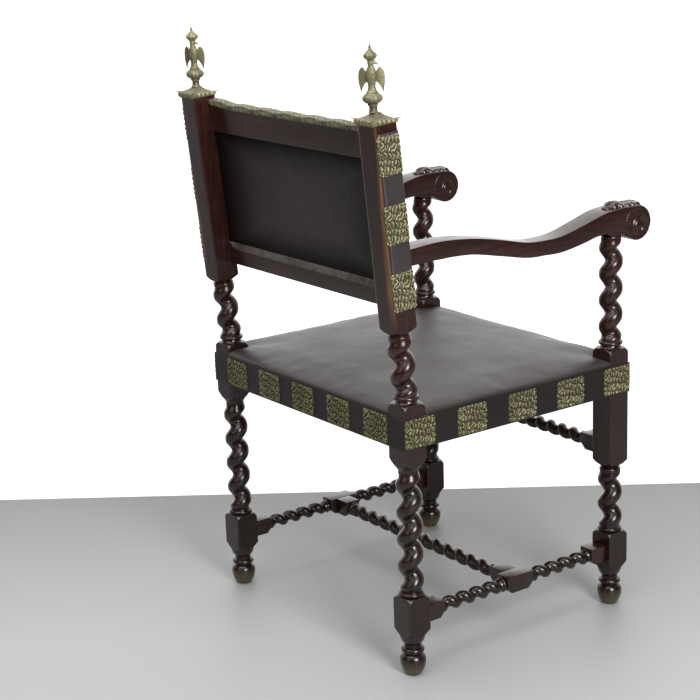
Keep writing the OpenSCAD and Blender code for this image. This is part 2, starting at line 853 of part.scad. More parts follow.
// A slab in the back's frame, from a rear to a front surface that bulges
module bulged(xs, hs, rear_q, front_q, flat_rear) {
    nx = len(xs);
    nh = len(hs);
    front = [for (h = hs) for (x = xs) [x, front_q - back_rise(x, h), h]];
    rear = [for (h = hs) for (x = xs) [x, rear_q - (flat_rear ? 0 : back_rise(x, h)), h]];
    n = nx * nh;
    faces = [
        for (j = [0:nh - 2]) for (i = [0:nx - 2])
            let (a = j * nx + i, b = a + 1, e = a + nx, f = e + 1)
            each concat(
                [[a, e, f], [a, f, b], [n + a, n + b, n + f], [n + a, n + f, n + e]],
                j > 0 ? [] : [[a, b, n + b], [a, n + b, n + a]],
                j < nh - 2 ? [] : [[f, e, n + e], [f, n + e, n + f]],
                i > 0 ? [] : [[e, a, n + a], [e, n + a, n + e]],
                i < nx - 2 ? [] : [[b, f, n + f], [b, n + f, n + b]]
            )
    ];
    polyhedron(points = concat(front, rear), faces = faces);
}

bulge_steps = [-1, -0.97, -0.88, -0.7, -0.45, -0.15, 0.15, 0.45, 0.7, 0.88, 0.97, 1];
bulge_xs = [for (t = bulge_steps) t * open_x];
bulge_hs = [
    for (t = bulge_steps)
        (bottom_rail_h1 + top_rail_h0) / 2 + t * (top_rail_h0 - bottom_rail_h1) / 2
];

module back_padding() {
    color(fibre)
        translate([0, centre_y, 0])
            raked()
                bulged(bulge_xs, bulge_hs, lining_q - lining_t, frame_q, true);
}

module back_leather() {
    front_q = frame_q - leather_t;
    wrap_q = half_post - 5;
    color(leather)
        translate([0, centre_y, 0])
            difference() {
                raked() {
                    bulged(concat([-stile_x - leather_t / 2], bulge_xs, [stile_x + leather_t / 2]),
                        concat([bottom_rail_h0], bulge_hs, [top_rail_h1 + leather_t / 2]),
                        frame_q, front_q, false);
                    for (side = [-1, 1])
                        translate([side * (stile_x + leather_t / 2) - leather_t / 2, front_q, wrap_h0])
                            cube([leather_t, wrap_q - front_q, top_rail_h1 + leather_t - wrap_h0]);
                    translate([-open_x, front_q, top_rail_h1])
                        cube([2 * open_x, rail_q - front_q, leather_t]);
                }
                for (side = [-1, 1])
                    translate([side * half_x, 0, 0])
                        arm_end_room();
            }
}

// Arms. Stations give the place along the arm as a share of its reach, and the height over its top level
upper_stations = [
    [0, -2], [0.14, 1.5], [0.28, -0.11 * arm_dip], [0.41, -0.46 * arm_dip], [0.54, -0.9 * arm_dip],
    [0.63, -arm_dip], [0.72, -0.92 * arm_dip], [0.82, -0.56 * arm_dip], [0.93, -0.12 * arm_dip], [1.02, 0]
];
thickness_stations = [
    [0, 0.95], [0.14, 1.02], [0.28, 0.93], [0.41, 0.97], [0.54, 0.93],
    [0.63, 0.9], [0.74, 1], [0.82, 1.1], [0.88, 1.14], [0.94, 1.3]
];

function arm_y(t) = stile_front_y - t * arm_reach;
function arm_under(t) = arm_thick * lookup(t, thickness_stations);

module arm_side() {
    upper = [for (p = spline(upper_stations)) [arm_y(p[0]), arm_top + p[1]]];
    under = [
        for (p = spline([for (s = upper_stations) if (s[0] < 0.93) s]))
            [arm_y(p[0]), arm_top + p[1] - arm_under(p[0])]
    ];
    pad = half_post + 1;
    union() {
        polygon(concat(
            upper,
            [[scroll_y, scroll_z + scroll_r], [scroll_y, scroll_z - scroll_r],
                [-half_y - pad, arm_seat_z], [-half_y + pad, arm_seat_z]],
            [for (i = [len(under) - 1:-1:0]) under[i]]
        ));
        translate([scroll_y, scroll_z])
            circle(r = scroll_r);
    }
}

// Half widths of the arm in plan, front to back
module arm_plan() {
    waist = arm_w * 0.46;
    front_y = scroll_y - scroll_r - 1;
    right = [
        [arm_w / 2, arm_y(-0.1)], [arm_w / 2, arm_y(0.1)], [waist, arm_y(0.4)], [waist, arm_y(0.62)],
        [scroll_w / 2 - 1, arm_y(0.92)], [scroll_w / 2, arm_y(1.02)], [scroll_w / 2, front_y]
    ];
    edge = spline(right, 3);
    polygon(concat(edge, [for (i = [len(edge) - 1:-1:0]) [-edge[i][0], edge[i][1]]]));
}

module arm_tenon(room) {
    inset = 6;
    translate([-tenon_t / 2 - room, stile_front_y - inset, arm_mid_z - arm_tenon_h / 2 - room])
        cube([tenon_t + 2 * room, tenon_l + inset + room, arm_tenon_h + 2 * room]);
}

module behind_stile_front() {
    raked()
        translate([-scroll_w, frame_q, 0])
            cube([2 * scroll_w, 4 * post_side, stile_h1]);
}

// Room that the leather leaves for the arm's rear end
module arm_end_room() {
    gap = 0.4;
    translate([-stile_w / 2, stile_front_y - 20, arm_top - arm_thick - gap])
        cube([stile_w, 30, arm_thick + 2 * gap]);
}

// Carved leaf on top of the scroll, a row of lobes that is widest at its middle
module scroll_carving() {
    lobes = 5;
    for (i = [0:lobes - 1]) {
        swell = sin(30 + 120 * i / (lobes - 1));
        lobe_r = scroll_w * 0.32 * swell;
        y = 1.7 * scroll_r - 0.5 * scroll_r * i;
        surface = y > 0 ? scroll_r - 1 : sqrt(scroll_r * scroll_r - y * y);
        translate([0, scroll_y + y, scroll_z + surface + leaf_rise * swell - lobe_r])
            sphere(r = lobe_r);
    }
}

// The raised eyes on the scroll's two sides
module scroll_eyes() {
    eye_t = 1.5;
    translate([-scroll_w / 2 - eye_t, scroll_y - 2, scroll_z - scroll_r * 0.22])
        rotate([0, 90, 0])
            cylinder(r = scroll_r * 0.5, h = scroll_w + 2 * eye_t);
}

module arm(left) {
    color(wood)
        translate([left * half_x, centre_y, 0]) {
            difference() {
                union() {
                    intersection() {
                        rotate([90, 0, 90])
                            translate([0, 0, -scroll_w])
                                linear_extrude(2 * scroll_w)
                                    arm_side();
                        translate([0, 0, scroll_z - 2 * scroll_r])
                            linear_extrude(4 * scroll_r)
                                arm_plan();
                    }
                    scroll_carving();
                    scroll_eyes();
                }
                behind_stile_front();
                translate([0, -half_y, arm_seat_z - 1])
                    cylinder(r = spigot_r + fit, h = spigot_h + fit + 1);
            }
            arm_tenon(0);
        }
}

// Brass plaque: a pierced plate with lobed edges, a rosette and four corner bosses
module plaque_shape(l, h) {
    lobe = 4;
    hole = 2.6;
    cols = 4;
    rows = 3;
    difference() {
        union() {
            square([l - 2 * lobe, h - 2 * lobe], center = true);
            for (i = [0:cols - 1], s = [-1, 1])
                translate([(i - (cols - 1) / 2) * (l - 3 * lobe) / (cols - 1), s * (h / 2 - lobe)])
                    circle(r = lobe);
            for (i = [0:rows - 1], s = [-1, 1])
                translate([s * (l / 2 - lobe), (i - (rows - 1) / 2) * (h - 3 * lobe) / (rows - 1)])
                    circle(r = lobe);
        }
        for (a = [0:60:300])
            translate([10.5 * cos(a), 10.5 * sin(a)])
                circle(r = hole);
        for (sx = [-1, 1], sy = [-1, 1]) {
            translate([sx * l * 0.27, sy * h * 0.31])
                circle(r = hole * 1.2);
            translate([sx * l * 0.38, sy * h * 0.13])
                circle(r = hole);
        }
    }
}

module plaque(l = plaque_l, h = plaque_h) {
    linear_extrude(plaque_t)
        plaque_shape(l, h);
    translate([0, 0, plaque_t - bite])
        cylinder(r1 = 6, r2 = 3, h = 1.4 + bite);
    for (sx = [-1, 1], sy = [-1, 1])
        translate([sx * (l / 2 - 6), sy * (h / 2 - 6), plaque_t - bite])
            cylinder(r1 = 3, r2 = 1.6, h = 1.2 + bite);
}

// A row of plaques on a seat face: spread is the distance between the first and the last centre
module seat_row(spread, face) {
    mid_z = (rail_bottom + edge_z) / 2;
    for (i = [0:seat_plaques - 1])
        translate([(i / (seat_plaques - 1) - 0.5) * spread, face + leather_t, mid_z])
            rotate([-90, 0, 0])
                plaque();
}

module plaques_seat_front() {
    color(brass)
        translate([0, centre_y, 0])
            rotate([0, 0, 180])
                seat_row(end_spread, outer_y);
}

module plaques_seat_rear() {
    color(brass)
        translate([0, centre_y, 0])
            seat_row(end_spread, outer_y);
}

module plaques_seat_side(left) {
    color(brass)
        translate([0, centre_y, 0])
            rotate([0, 0, -left * 90])
                seat_row(side_spread, outer_x);
}

module plaques_stile(left) {
    h0 = wrap_h0 + plaque_l / 2 + 1;
    h1 = top_rail_h1 - plaque_l / 2 - 2;
    color(brass)
        translate([0, centre_y, 0])
            raked()
                for (i = [0:stile_plaques - 1])
                    translate([left * (stile_x + leather_t), -1, h0 + (h1 - h0) * i / (stile_plaques - 1)])
                        rotate([90, 90, left * 90])
                            plaque(plaque_l, min(plaque_h, post_side + 1));
}

// The lobed lip of a bent plaque, hanging from its upper edge
module lobed_lip(l, drop) {
    lobes = 4;
    lobe_r = l / lobes / 2;
    translate([-l / 2, -drop + lobe_r])
        square([l, drop - lobe_r]);
    intersection() {
        translate([-l / 2, -drop])
            square([l, drop]);
        for (i = [0:lobes - 1])
            translate([(i - (lobes - 1) / 2) * 2 * lobe_r, -drop + lobe_r])
                circle(r = lobe_r - 0.2);
    }
}

// Plaques bent over the back's upper edge: a lip behind, a strip on top and a leaf on the front face
module plaques_back_top() {
    strip = back_rail_t + leather_t;
    lip = 9;
    leaf = plaque_h - strip - lip;
    gap = (2 * open_x - 6 - plaque_l) / (top_plaques - 1);
    front_q = frame_q - leather_t;
    top_h = top_rail_h1 + leather_t;
    color(brass)
        translate([0, centre_y, 0])
            raked()
                for (i = [0:top_plaques - 1])
                    translate([(i - (top_plaques - 1) / 2) * gap, 0, 0]) {
                        translate([-plaque_l / 2 + 2, front_q - plaque_t, top_h])
                            cube([plaque_l - 4, strip + 2 * plaque_t, plaque_t]);
                        translate([0, rail_q + plaque_t, top_h + bite])
                            rotate([90, 0, 0])
                                linear_extrude(plaque_t)
                                    lobed_lip(plaque_l - 4, lip);
                        translate([0, front_q, top_h - leaf / 2 + plaque_t / 2])
                            rotate([90, 0, 0])
                                plaque(plaque_l, leaf);
                    }
}

// Roof with four hollow sides that narrow to a square
module cap_roof(base) {
    steps = 6;
    top = 5;
    side = [
        for (i = [0:steps])
            let (t = i / steps)
            [top + (base - top) * pow(1 - t, 1.7), cap_roof_h * t]
    ];
    outline = concat(
        [[base, -bite]], side,
        [for (i = [steps:-1:0]) [-side[i][0], side[i][1]]], [[-base, -bite]]
    );
    intersection_for(turn = [0, 90])
        rotate([90, 0, turn])
            translate([0, 0, -base])
                linear_extrude(2 * base)
                    polygon(outline);
}

// Cap plate with a hollow roof, lobed edges and spiked corners, cut along the stile's leaning top
module cap_plate(left) {
    lobes = 5;
    lobe_r = cap_side / lobes / 2 * 0.85;
    edge = cap_side / 2 - lobe_r;
    below = 4;
    corner = edge * sqrt(2);
    tip = tip_reach * sqrt(2);
    spike_w = 7;
    spike_t = 2.5;
    color(brass)
        translate([left * half_x, centre_y, 0])
            on_stile()
                difference() {
                    union() {
                        translate([0, 0, -below])
                            linear_extrude(below + cap_t) {
                                square([2 * edge, 2 * edge], center = true);
                                for (a = [0:90:270], i = [0:lobes - 1])
                                    rotate(a)
                                        translate([(i - (lobes - 1) / 2) * 2 * edge / lobes, edge])
                                            circle(r = lobe_r);
                            }
                        translate([0, 0, cap_t - spike_t / 2])
                            linear_extrude(spike_t)
                                for (a = [45:90:315])
                                    rotate(a)
                                        polygon([
                                            [0, spike_w], [corner, spike_w / 2], [tip, 0],
                                            [corner, -spike_w / 2], [0, -spike_w]
                                        ]);
                        translate([0, 0, cap_t])
                            cap_roof(edge * 0.96);
                    }
                    translate([0, -cap_shift, 0])
                        rotate([-rake, 0, 0])
                            translate([-cap_side, -cap_side, -cap_side])
                                cube([2 * cap_side, 2 * cap_side, cap_side]);
                    translate([0, 0, -below])
                        cylinder(r = pin_r + fit, h = below + cap_h + 1);
                }
}

module finial_pin(left) {
    color(steel)
        translate([left * half_x, centre_y, 0])
            on_stile()
                translate([0, 0, -pin_len])
                    cylinder(r = pin_r, h = pin_len + cap_h + pin_up - 2);
}

// Finial: a stem and a pot that carry a crowned bird with drooping wings. The pot and the bird's body are
// revolved from shares of their heights and radii
stem_h = finial_h * 0.12;
pot_h = finial_h * 0.17;
bird_h = finial_h * 0.4;
perch_z = stem_h + pot_h;
pot_stations = [
    [0.04, 0.5], [0.14, 0.72], [0.3, 0.92], [0.46, 1], [0.6, 0.98], [0.74, 0.86],
    [0.86, 0.64], [0.94, 0.44], [1, 0.34]
];
body_stations = [
    [0, 1.1], [0.06, 0.86], [0.14, 0.7], [0.26, 0.72], [0.4, 0.86], [0.55, 0.98], [0.7, 0.98],
    [0.84, 0.8], [0.95, 0.55], [1.05, 0.5]
];
crown_stations = [
    [0, 0.46], [0.05, 0.52], [0.12, 0.8], [0.2, 0.97], [0.27, 1], [0.34, 0.94], [0.42, 0.68],
    [0.5, 0.44], [0.6, 0.26], [0.68, 0.13], [0.72, 0.2], [0.77, 0.24], [0.82, 0.18], [0.86, 0.09], [1, 0.04]
];

wing_stations = [
    [0, 0.6], [0.2, 0.8], [0.5, 0.92], [0.72, 0.88], [0.9, 0.72], [1, 0.5], [0.96, 0.22], [0.88, 0],
    [0.7, 0.22], [0.5, 0.26], [0.34, 0.4], [0, 0.36]
];

function turned(stations, high, r) =
    concat([[0, stations[0][0] * high]], [for (s = stations) [r * s[1], high * s[0]]],
        [[0, stations[len(stations) - 1][0] * high]]);

// One wing, widest at its shoulder and drooping to a point, pierced between its feathers
module wing() {
    thick = 3;
    r = wing_reach;
    rotate([90, 0, 0])
        translate([0, 0, -thick / 2])
            linear_extrude(thick)
                difference() {
                    polygon([for (s = wing_stations) [r * s[0], bird_h * s[1]]]);
                    for (i = [0:2])
                        translate([r * (0.78 - 0.17 * i), bird_h * (0.3 + 0.08 * i)])
                            circle(r = r * 0.06);
                }
}

// The bird faces -Y before it is turned
module bird() {
    head_z = bird_h * 1.06;
    crown_z = bird_h * 1.12;
    crown_h = finial_h - perch_z + 1 - crown_z;
    rotate_extrude()
        polygon(turned(body_stations, bird_h, bird_r));
    translate([0, 0, head_z])
        sphere(r = bird_r * 0.57);
    translate([0, -bird_r * 0.3, head_z - 1])
        rotate([112, 0, 0])
            cylinder(r1 = bird_r * 0.45, r2 = bird_r * 0.08, h = bird_r * 1.2);
    for (side = [0, 1])
        mirror([side, 0, 0])
            rotate([0, 0, 12])
                wing();
    translate([0, bird_r * 0.55, bird_h * 0.1])
        rotate([8, 0, 0])
            linear_extrude(bird_h * 0.4)
                square([bird_r, bird_r * 0.4], center = true);
    translate([0, 0, crown_z])
        rotate_extrude()
            polygon(turned(crown_stations, crown_h, crown_r));
}

module finial(left) {
    color(brass)
        translate([left * half_x, centre_y, 0])
            on_stile()
                translate([0, 0, cap_h])
                    difference() {
                        union() {
                            rotate_extrude()
                                polygon(concat(
                                    [[0, 0], [stem_r * 1.23, 0], [stem_r * 1.02, 2]],
                                    [[stem_r * 0.95, stem_h - 3]],
                                    arc([stem_r * 1.05, stem_h - 1], 2, -90, 90, 4),
                                    [[0, stem_h + 1]]
                                ));
                            translate([0, 0, stem_h])
                                rotate_extrude()
                                    polygon(turned(pot_stations, pot_h, pot_r));
                            translate([0, 0, perch_z - 1])
                                rotate([0, 0, bird_turn])
                                    bird();
                        }
                        translate([0, 0, -1])
                            cylinder(r = pin_r + fit, h = pin_up);
                    }
}

rear_post(1);  // rear_post_left
rear_post(-1);  // rear_post_right
front_post(1);  // front_post_left
front_post(-1);  // front_post_right
side_stretcher(1);  // side_stretcher_left
side_stretcher(-1);  // side_stretcher_right
cross_stretcher();
front_stretcher();
seat_rail_x(-1);  // seat_rail_front
seat_rail_x(1);  // seat_rail_rear
seat_rail_y(1);  // seat_rail_left
seat_rail_y(-1);  // seat_rail_right
corner_block(1, -1);  // corner_block_front_left
corner_block(-1, -1);  // corner_block_front_right
corner_block(1, 1);  // corner_block_rear_left
corner_block(-1, 1);  // corner_block_rear_right
webbing_lengthwise();
webbing_crosswise();
seat_hessian();
seat_stuffing();
seat_leather();
back_top_rail();
back_bottom_rail();
back_lining();
back_padding();
back_leather();
arm(1);  // arm_left
arm(-1);  // arm_right
plaques_seat_front();
plaques_seat_rear();
plaques_seat_side(1);  // plaques_seat_left
plaques_seat_side(-1);  // plaques_seat_right
plaques_stile(1);  // plaques_stile_left
plaques_stile(-1);  // plaques_stile_right
plaques_back_top();
cap_plate(1);  // cap_plate_left
cap_plate(-1);  // cap_plate_right
finial(1);  // finial_left
finial(-1);  // finial_right
finial_pin(1);  // finial_pin_left
finial_pin(-1);  // finial_pin_right
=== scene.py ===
# Armchair with barley-twist posts, a leather seat and back, and pierced brass mounts.
import math

import bmesh
import bpy
import numpy as np
from mathutils import Matrix, Vector, noise


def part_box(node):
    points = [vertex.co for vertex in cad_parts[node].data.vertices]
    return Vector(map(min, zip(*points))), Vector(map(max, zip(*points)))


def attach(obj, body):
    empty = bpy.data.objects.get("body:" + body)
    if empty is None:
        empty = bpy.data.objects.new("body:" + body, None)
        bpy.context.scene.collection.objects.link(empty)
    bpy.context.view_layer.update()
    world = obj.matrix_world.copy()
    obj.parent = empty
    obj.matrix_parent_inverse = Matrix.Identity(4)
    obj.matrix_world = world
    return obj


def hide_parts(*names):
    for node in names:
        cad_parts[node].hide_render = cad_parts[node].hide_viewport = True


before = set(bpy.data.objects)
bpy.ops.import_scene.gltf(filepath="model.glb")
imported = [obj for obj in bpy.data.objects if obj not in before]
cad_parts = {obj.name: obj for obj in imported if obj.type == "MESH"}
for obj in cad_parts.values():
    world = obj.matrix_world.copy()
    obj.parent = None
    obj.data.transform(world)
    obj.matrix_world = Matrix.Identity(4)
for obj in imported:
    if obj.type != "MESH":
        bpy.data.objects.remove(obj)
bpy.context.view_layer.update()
scene = bpy.context.scene

# Sizes are in millimetres. Meshes are scaled by MM when they are made.
MM = 0.001


def box_mm(node):
    low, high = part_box(node)
    return low / MM, high / MM


front_low, front_high = box_mm("front_post_left")
seat_low, seat_high = box_mm("seat_leather")
HALF_POST = (front_high.x - front_low.x) / 2
HALF_X = (front_low.x + front_high.x) / 2
FRONT_Y = (front_low.y + front_high.y) / 2
MID_Y = (seat_low.y + seat_high.y) / 2
REAR_Y = 2 * MID_Y - FRONT_Y
HALF_Y = REAR_Y - MID_Y
NOTCH_X = HALF_X - HALF_POST
NOTCH_Y = HALF_Y - HALF_POST

# Posts
BALL_H = 38
FOOT_FLARE = 28
BLOCK_Z0 = 82
BLOCK_Z1 = 136
TWIST_Z0 = 148
REAR_FLARE = 28
REAR_SQUARE_Z0 = 384
REAR_SQUARE_Z1 = 469
FRONT_FLARE = 20
FRONT_SQUARE_Z0 = 277
FRONT_SQUARE_Z1 = 476
SHOULDER_DROP = 8
SHOULDER = 5
COVE = 5.5
COLLAR = 7
TWIST_R = 21.5
TWIST_PITCH = 47
TWIST_NECK = 0.86
TWIST_GROOVE = 0.5
TWIST_SHARPNESS = 1.5
LEG_TURN = -113
ARM_TURN = 31
STILE_TURN = 0

# How far a twist reaches into what it joins, and the arm support's twist into the bead over it
OVERLAP = 1
BURIED = 1.5

# Back, in its leaning frame: h along the stiles and q towards the rear
LEAN = math.radians(5.3)
STILE_H0 = 135
STILE_H1 = 460
STILE_BEAD = (STILE_H0 - 20.5, STILE_H0 - 14.5)
STILE_W = 42
OPEN_X = HALF_X - STILE_W / 2
STILE_X = HALF_X + STILE_W / 2
FRAME_Q = -HALF_POST
RAIL_Q = FRAME_Q + 14
LINING_Q = RAIL_Q - 5
TOP_RAIL = (397, 446)
BOTTOM_RAIL = (157, 196)
CHAMFER_H = 10.8
CHAMFER_STOP = 26
PANEL_H = (BOTTOM_RAIL[1] + TOP_RAIL[0]) / 2
PANEL_HALF = (TOP_RAIL[0] - BOTTOM_RAIL[1]) / 2
WRAP_H0 = 163

# Stretchers
STRETCHER_Z = 104
FRONT_STRETCHER_Z = 298
STRETCHER_SIDE = 30
STRETCHER_R = 13
STRETCHER_PITCH = 30
CROSS_PITCH = 32.5
STRETCHER_TURN = 0
STRETCHER_END = 36
STRETCHER_BEAD = 7
STRETCHER_NECK = 9
SOFT_EDGE = 1.2
MIDDLE_BLOCK = 56

# Seat
RAIL_BOTTOM = 400
EDGE_Z = 453
LEATHER = 1.6
ROLL_H = 13
ROLL_W = 25
CROWN_H = 14
SEAT_EDGE_X = HALF_X + HALF_POST + LEATHER
SEAT_EDGE_Y = HALF_Y + HALF_POST + LEATHER

# Arms
ARM_TOP = 729
ARM_UNDER = 28.5
ARM_DIP = 30.5
ARM_SEAT_Z = 682
ARM_BEAD = 9
SCROLL_R = 30.5
SCROLL_Y = FRONT_Y - 43
SCROLL_Z = ARM_TOP - SCROLL_R
SCROLL_W = 46
ARM_W = 40

# Brass
PLAQUE_L = 62.5
PLAQUE_H = 49
RELIEF = 2.7
CAP_SIDE = 48
CAP_T = 8.5
CAP_ROOF_H = 9.5
CAP_TIP = 27.5
CAP_SHIFT = 1.5
FINIAL_H = 106
STEM_H = FINIAL_H * 0.12
POT_H = FINIAL_H * 0.17

RAKED = Matrix.Translation((0, REAR_Y, REAR_SQUARE_Z1)) @ Matrix.Rotation(-LEAN, 4, "X")
FRONT_OF_STILE = REAR_Y + (ARM_TOP - REAR_SQUARE_Z1) * math.tan(LEAN) - HALF_POST / math.cos(LEAN)
STILE_TOP_Y = REAR_Y + STILE_H1 * math.sin(LEAN) + CAP_SHIFT
STILE_TOP_Z = REAR_SQUARE_Z1 + STILE_H1 * math.cos(LEAN)

# Camera
CAMERA_PLACE = Vector((-2426.5, MID_Y + 1898.2, 1310.2)) * MM
CAMERA_AZIMUTH = math.radians(234.189)
CAMERA_ELEVATION = math.radians(15.263)
CAMERA_ROLL = math.radians(-2.02)
LENS = 91.47
SENSOR = 36


def set_camera():
    data = bpy.data.cameras.new("camera")
    data.sensor_width = SENSOR
    data.lens = LENS
    data.clip_end = 50
    camera = bpy.data.objects.new("camera", data)
    scene.collection.objects.link(camera)
    aim = Matrix.Rotation(CAMERA_AZIMUTH, 4, "Z") @ Matrix.Rotation(math.pi / 2 - CAMERA_ELEVATION, 4, "X")
    camera.matrix_world = Matrix.Translation(CAMERA_PLACE) @ aim @ Matrix.Rotation(CAMERA_ROLL, 4, "Z")
    scene.camera = camera


set_camera()


# Shader and geometry trees
def fill(tree, node, inputs):
    """Gives a node its inputs: a socket is linked, and anything else is set as the value."""
    for key, value in inputs.items():
        socket = node.inputs[key]
        if isinstance(value, bpy.types.NodeSocket):
            tree.links.new(value, socket)
        elif socket.type == "RGBA":
            socket.default_value = (*value, 1)
        else:
            socket.default_value = value


def add(tree, kind, inputs=None, **settings):
    node = tree.nodes.new(kind)
    for key, value in settings.items():
        setattr(node, key, value)
    fill(tree, node, inputs or {})
    return node


def math_node(tree, operation, *values, clamp=False):
    inputs = dict(enumerate(values))
    return add(tree, "ShaderNodeMath", inputs, operation=operation, use_clamp=clamp).outputs[0]


def mapped(tree, value, low, high, to_low=0.0, to_high=1.0, curve="LINEAR"):
    """A value between low and high, carried over to another range and held inside it."""
    inputs = {"Value": value, 1: low, 2: high, 3: to_low, 4: to_high}
    return add(tree, "ShaderNodeMapRange", inputs, interpolation_type=curve).outputs[0]


def axes_of(tree, vector):
    return add(tree, "ShaderNodeSeparateXYZ", {0: vector}).outputs


def surface(name):
    material = bpy.data.materials.new(name)
    material.use_nodes = True
    tree = material.node_tree
    tree.nodes.clear()
    shader = add(tree, "ShaderNodeBsdfPrincipled")
    add(tree, "ShaderNodeOutputMaterial", {"Surface": shader.outputs["BSDF"]})
    return material, tree, shader


def object_points(tree, scale=(1, 1, 1)):
    where = add(tree, "ShaderNodeTexCoord").outputs["Object"]
    return add(tree, "ShaderNodeMapping", {"Vector": where, "Scale": scale}).outputs[0]


def of_surface(tree, quality):
    return add(tree, "ShaderNodeNewGeometry").outputs[quality]


def facing_up(tree):
    return axes_of(tree, of_surface(tree, "True Normal"))["Z"]


def grain(tree, where, scale, detail, rough=0.55, distortion=0.0):
    inputs = {
        "Vector": where, "Scale": scale, "Detail": detail, "Roughness": rough, "Distortion": distortion,
    }
    return add(tree, "ShaderNodeTexNoise", inputs).outputs["Fac"]


def cracks(tree, where, scale, feature):
    inputs = {"Vector": where, "Scale": scale}
    return add(tree, "ShaderNodeTexVoronoi", inputs, feature=feature).outputs["Distance"]


def ramp(tree, value, *stops):
    """Colours or greys along a value: stops are (place, colour)."""
    node = add(tree, "ShaderNodeValToRGB", {"Fac": value})
    elements = node.color_ramp.elements
    while len(elements) < len(stops):
        elements.new(0.5)
    for element, (place, colour) in zip(elements, stops):
        element.position = place
        element.color = (*colour, 1) if isinstance(colour, tuple) else (colour, colour, colour, 1)
    return node.outputs["Color"]


def blend(tree, share, first, second, kind="MIX"):
    inputs = {0: share, 6: first, 7: second}
    return add(tree, "ShaderNodeMix", inputs, data_type="RGBA", blend_type=kind).outputs[2]


def bump(tree, height, strength, distance, below=None):
    inputs = {"Height": height, "Strength": strength, "Distance": distance}
    if below is not None:
        inputs["Normal"] = below
    return add(tree, "ShaderNodeBump", inputs).outputs[0]


def dimmed(colour, share):
    return tuple(c * share for c in colour)


# Wood
STAIN_DEEP = (0.0068, 0.0024, 0.002)
STAIN = (0.02, 0.005, 0.0034)
STAIN_LIGHT = (0.043, 0.0098, 0.0056)
STAIN_CLOUD = (0.010, 0.0045, 0.0038)
RUBBED_EDGE = (0.060, 0.022, 0.012)
SCUFFED_FOOT = (0.075, 0.058, 0.026)
BARE_CORNER = (0.155, 0.075, 0.032)
# Pale colour of dust and of a painted sheen on ledges
DUST_AND_SHEEN = (0.066, 0.058, 0.05)

# Heights in metres: painted shade darkens the wood towards the floor, fading out between the first pair;
# feet are scuffed, and stiles are worn at a corner
LOW_SHADE = (0.2, 0.6)
SCUFFED = (0.045, 0.025)
WORN_START = (0.60, 0.66)
WORN_TOP = 0.93


def polished_wood(name, along, worn_places=False, dust_and_sheen=False):
    """Dark stained wood with a hand-rubbed polish, its grain along one axis.

    Worn places are the scuffed feet and the stiles' bare corners. What faces up gets pale patches of dust
    and painted sheen.
    """
    material, tree, shader = surface(name)
    stretch = [1.0, 1.0, 1.0]
    stretch["XYZ".index(along)] = 0.07
    lines = object_points(tree, stretch)
    plain = object_points(tree)
    axes = axes_of(tree, plain)
    streaks = grain(tree, lines, 210, 6, 0.6, 0.6)
    pores = grain(tree, lines, 900, 3, 0.5)
    clouds = grain(tree, plain, 9, 3)
    colour = ramp(tree, streaks, (0.28, STAIN_DEEP), (0.5, STAIN), (0.72, STAIN_LIGHT))
    colour = blend(tree, ramp(tree, clouds, (0.35, 0.0), (0.7, 0.6)), colour, STAIN_CLOUD)
    # Painted shade: the wood is darkened towards the floor, to 0.45 of its colour below 0.2 m, fading out by
    # 0.6 m
    colour = blend(tree, 1.0, colour, mapped(tree, axes["Z"], *LOW_SHADE, 0.45, 1.0), "MULTIPLY")
    rubbed = ramp(tree, of_surface(tree, "Pointiness"), (0.53, 0.0), (0.62, 0.55))
    colour = blend(tree, rubbed, colour, RUBBED_EDGE)
    if worn_places:
        low = math_node(tree, "MULTIPLY_ADD", clouds, 0.03, axes["Z"])
        colour = blend(tree, mapped(tree, low, *SCUFFED, 0.0, 0.75), colour, SCUFFED_FOOT)
        colour = blend(tree, worn_corner(tree, axes, clouds, streaks), colour, BARE_CORNER)
    # Dust and painted sheen: pale patches on what faces up stand for dust and for the light's sheen on that
    # ledge
    if dust_and_sheen:
        ledge = mapped(tree, facing_up(tree), 0.1, 0.24)
        patches = ramp(tree, grain(tree, plain, 70, 4), (0.36, 0.25), (0.62, 0.95))
        colour = blend(tree, math_node(tree, "MULTIPLY", ledge, patches), colour, DUST_AND_SHEEN)
    hollows = bump(tree, clouds, 0.25, 0.004)
    fill(tree, shader, {
        "Base Color": colour,
        "Roughness": ramp(tree, grain(tree, plain, 60, 4), (0.3, 0.24), (0.75, 0.4)),
        "Normal": bump(tree, pores, 0.12, 0.0004, hollows),
        "Coat Weight": 0.62,
        "Coat Roughness": 0.22,
        "Coat IOR": 1.5,
        "Specular IOR Level": 0.2,
    })
    return material


def worn_corner(tree, axes, clouds, streaks):
    """Worn share of the stiles' outer rear corners, wider towards the seat."""
    slope = math.tan(LEAN)
    base = (REAR_Y + HALF_POST - REAR_SQUARE_Z1 * slope) * MM
    rear_face = math_node(tree, "MULTIPLY_ADD", axes["Z"], slope, base)
    rear = math_node(tree, "SUBTRACT", axes["Y"], rear_face)
    side = math_node(tree, "SUBTRACT", math_node(tree, "ABSOLUTE", axes["X"]), STILE_X * MM)
    high = math_node(tree, "SUBTRACT", axes["Z"], WORN_TOP)
    width = math_node(tree, "MULTIPLY_ADD", high, -0.036, 0.002)
    uneven = math_node(tree, "MULTIPLY_ADD", clouds, 0.01, -0.007)
    inward = math_node(tree, "ADD", math_node(tree, "ADD", side, width), uneven)
    share = mapped(tree, inward, -0.003, 0.003)
    for other in (
        mapped(tree, rear, -0.006, -0.002),
        mapped(tree, axes["Z"], *WORN_START),
        mapped(tree, streaks, 0.25, 0.6, 0.25, 0.85),
    ):
        share = math_node(tree, "MULTIPLY", share, other)
    return share


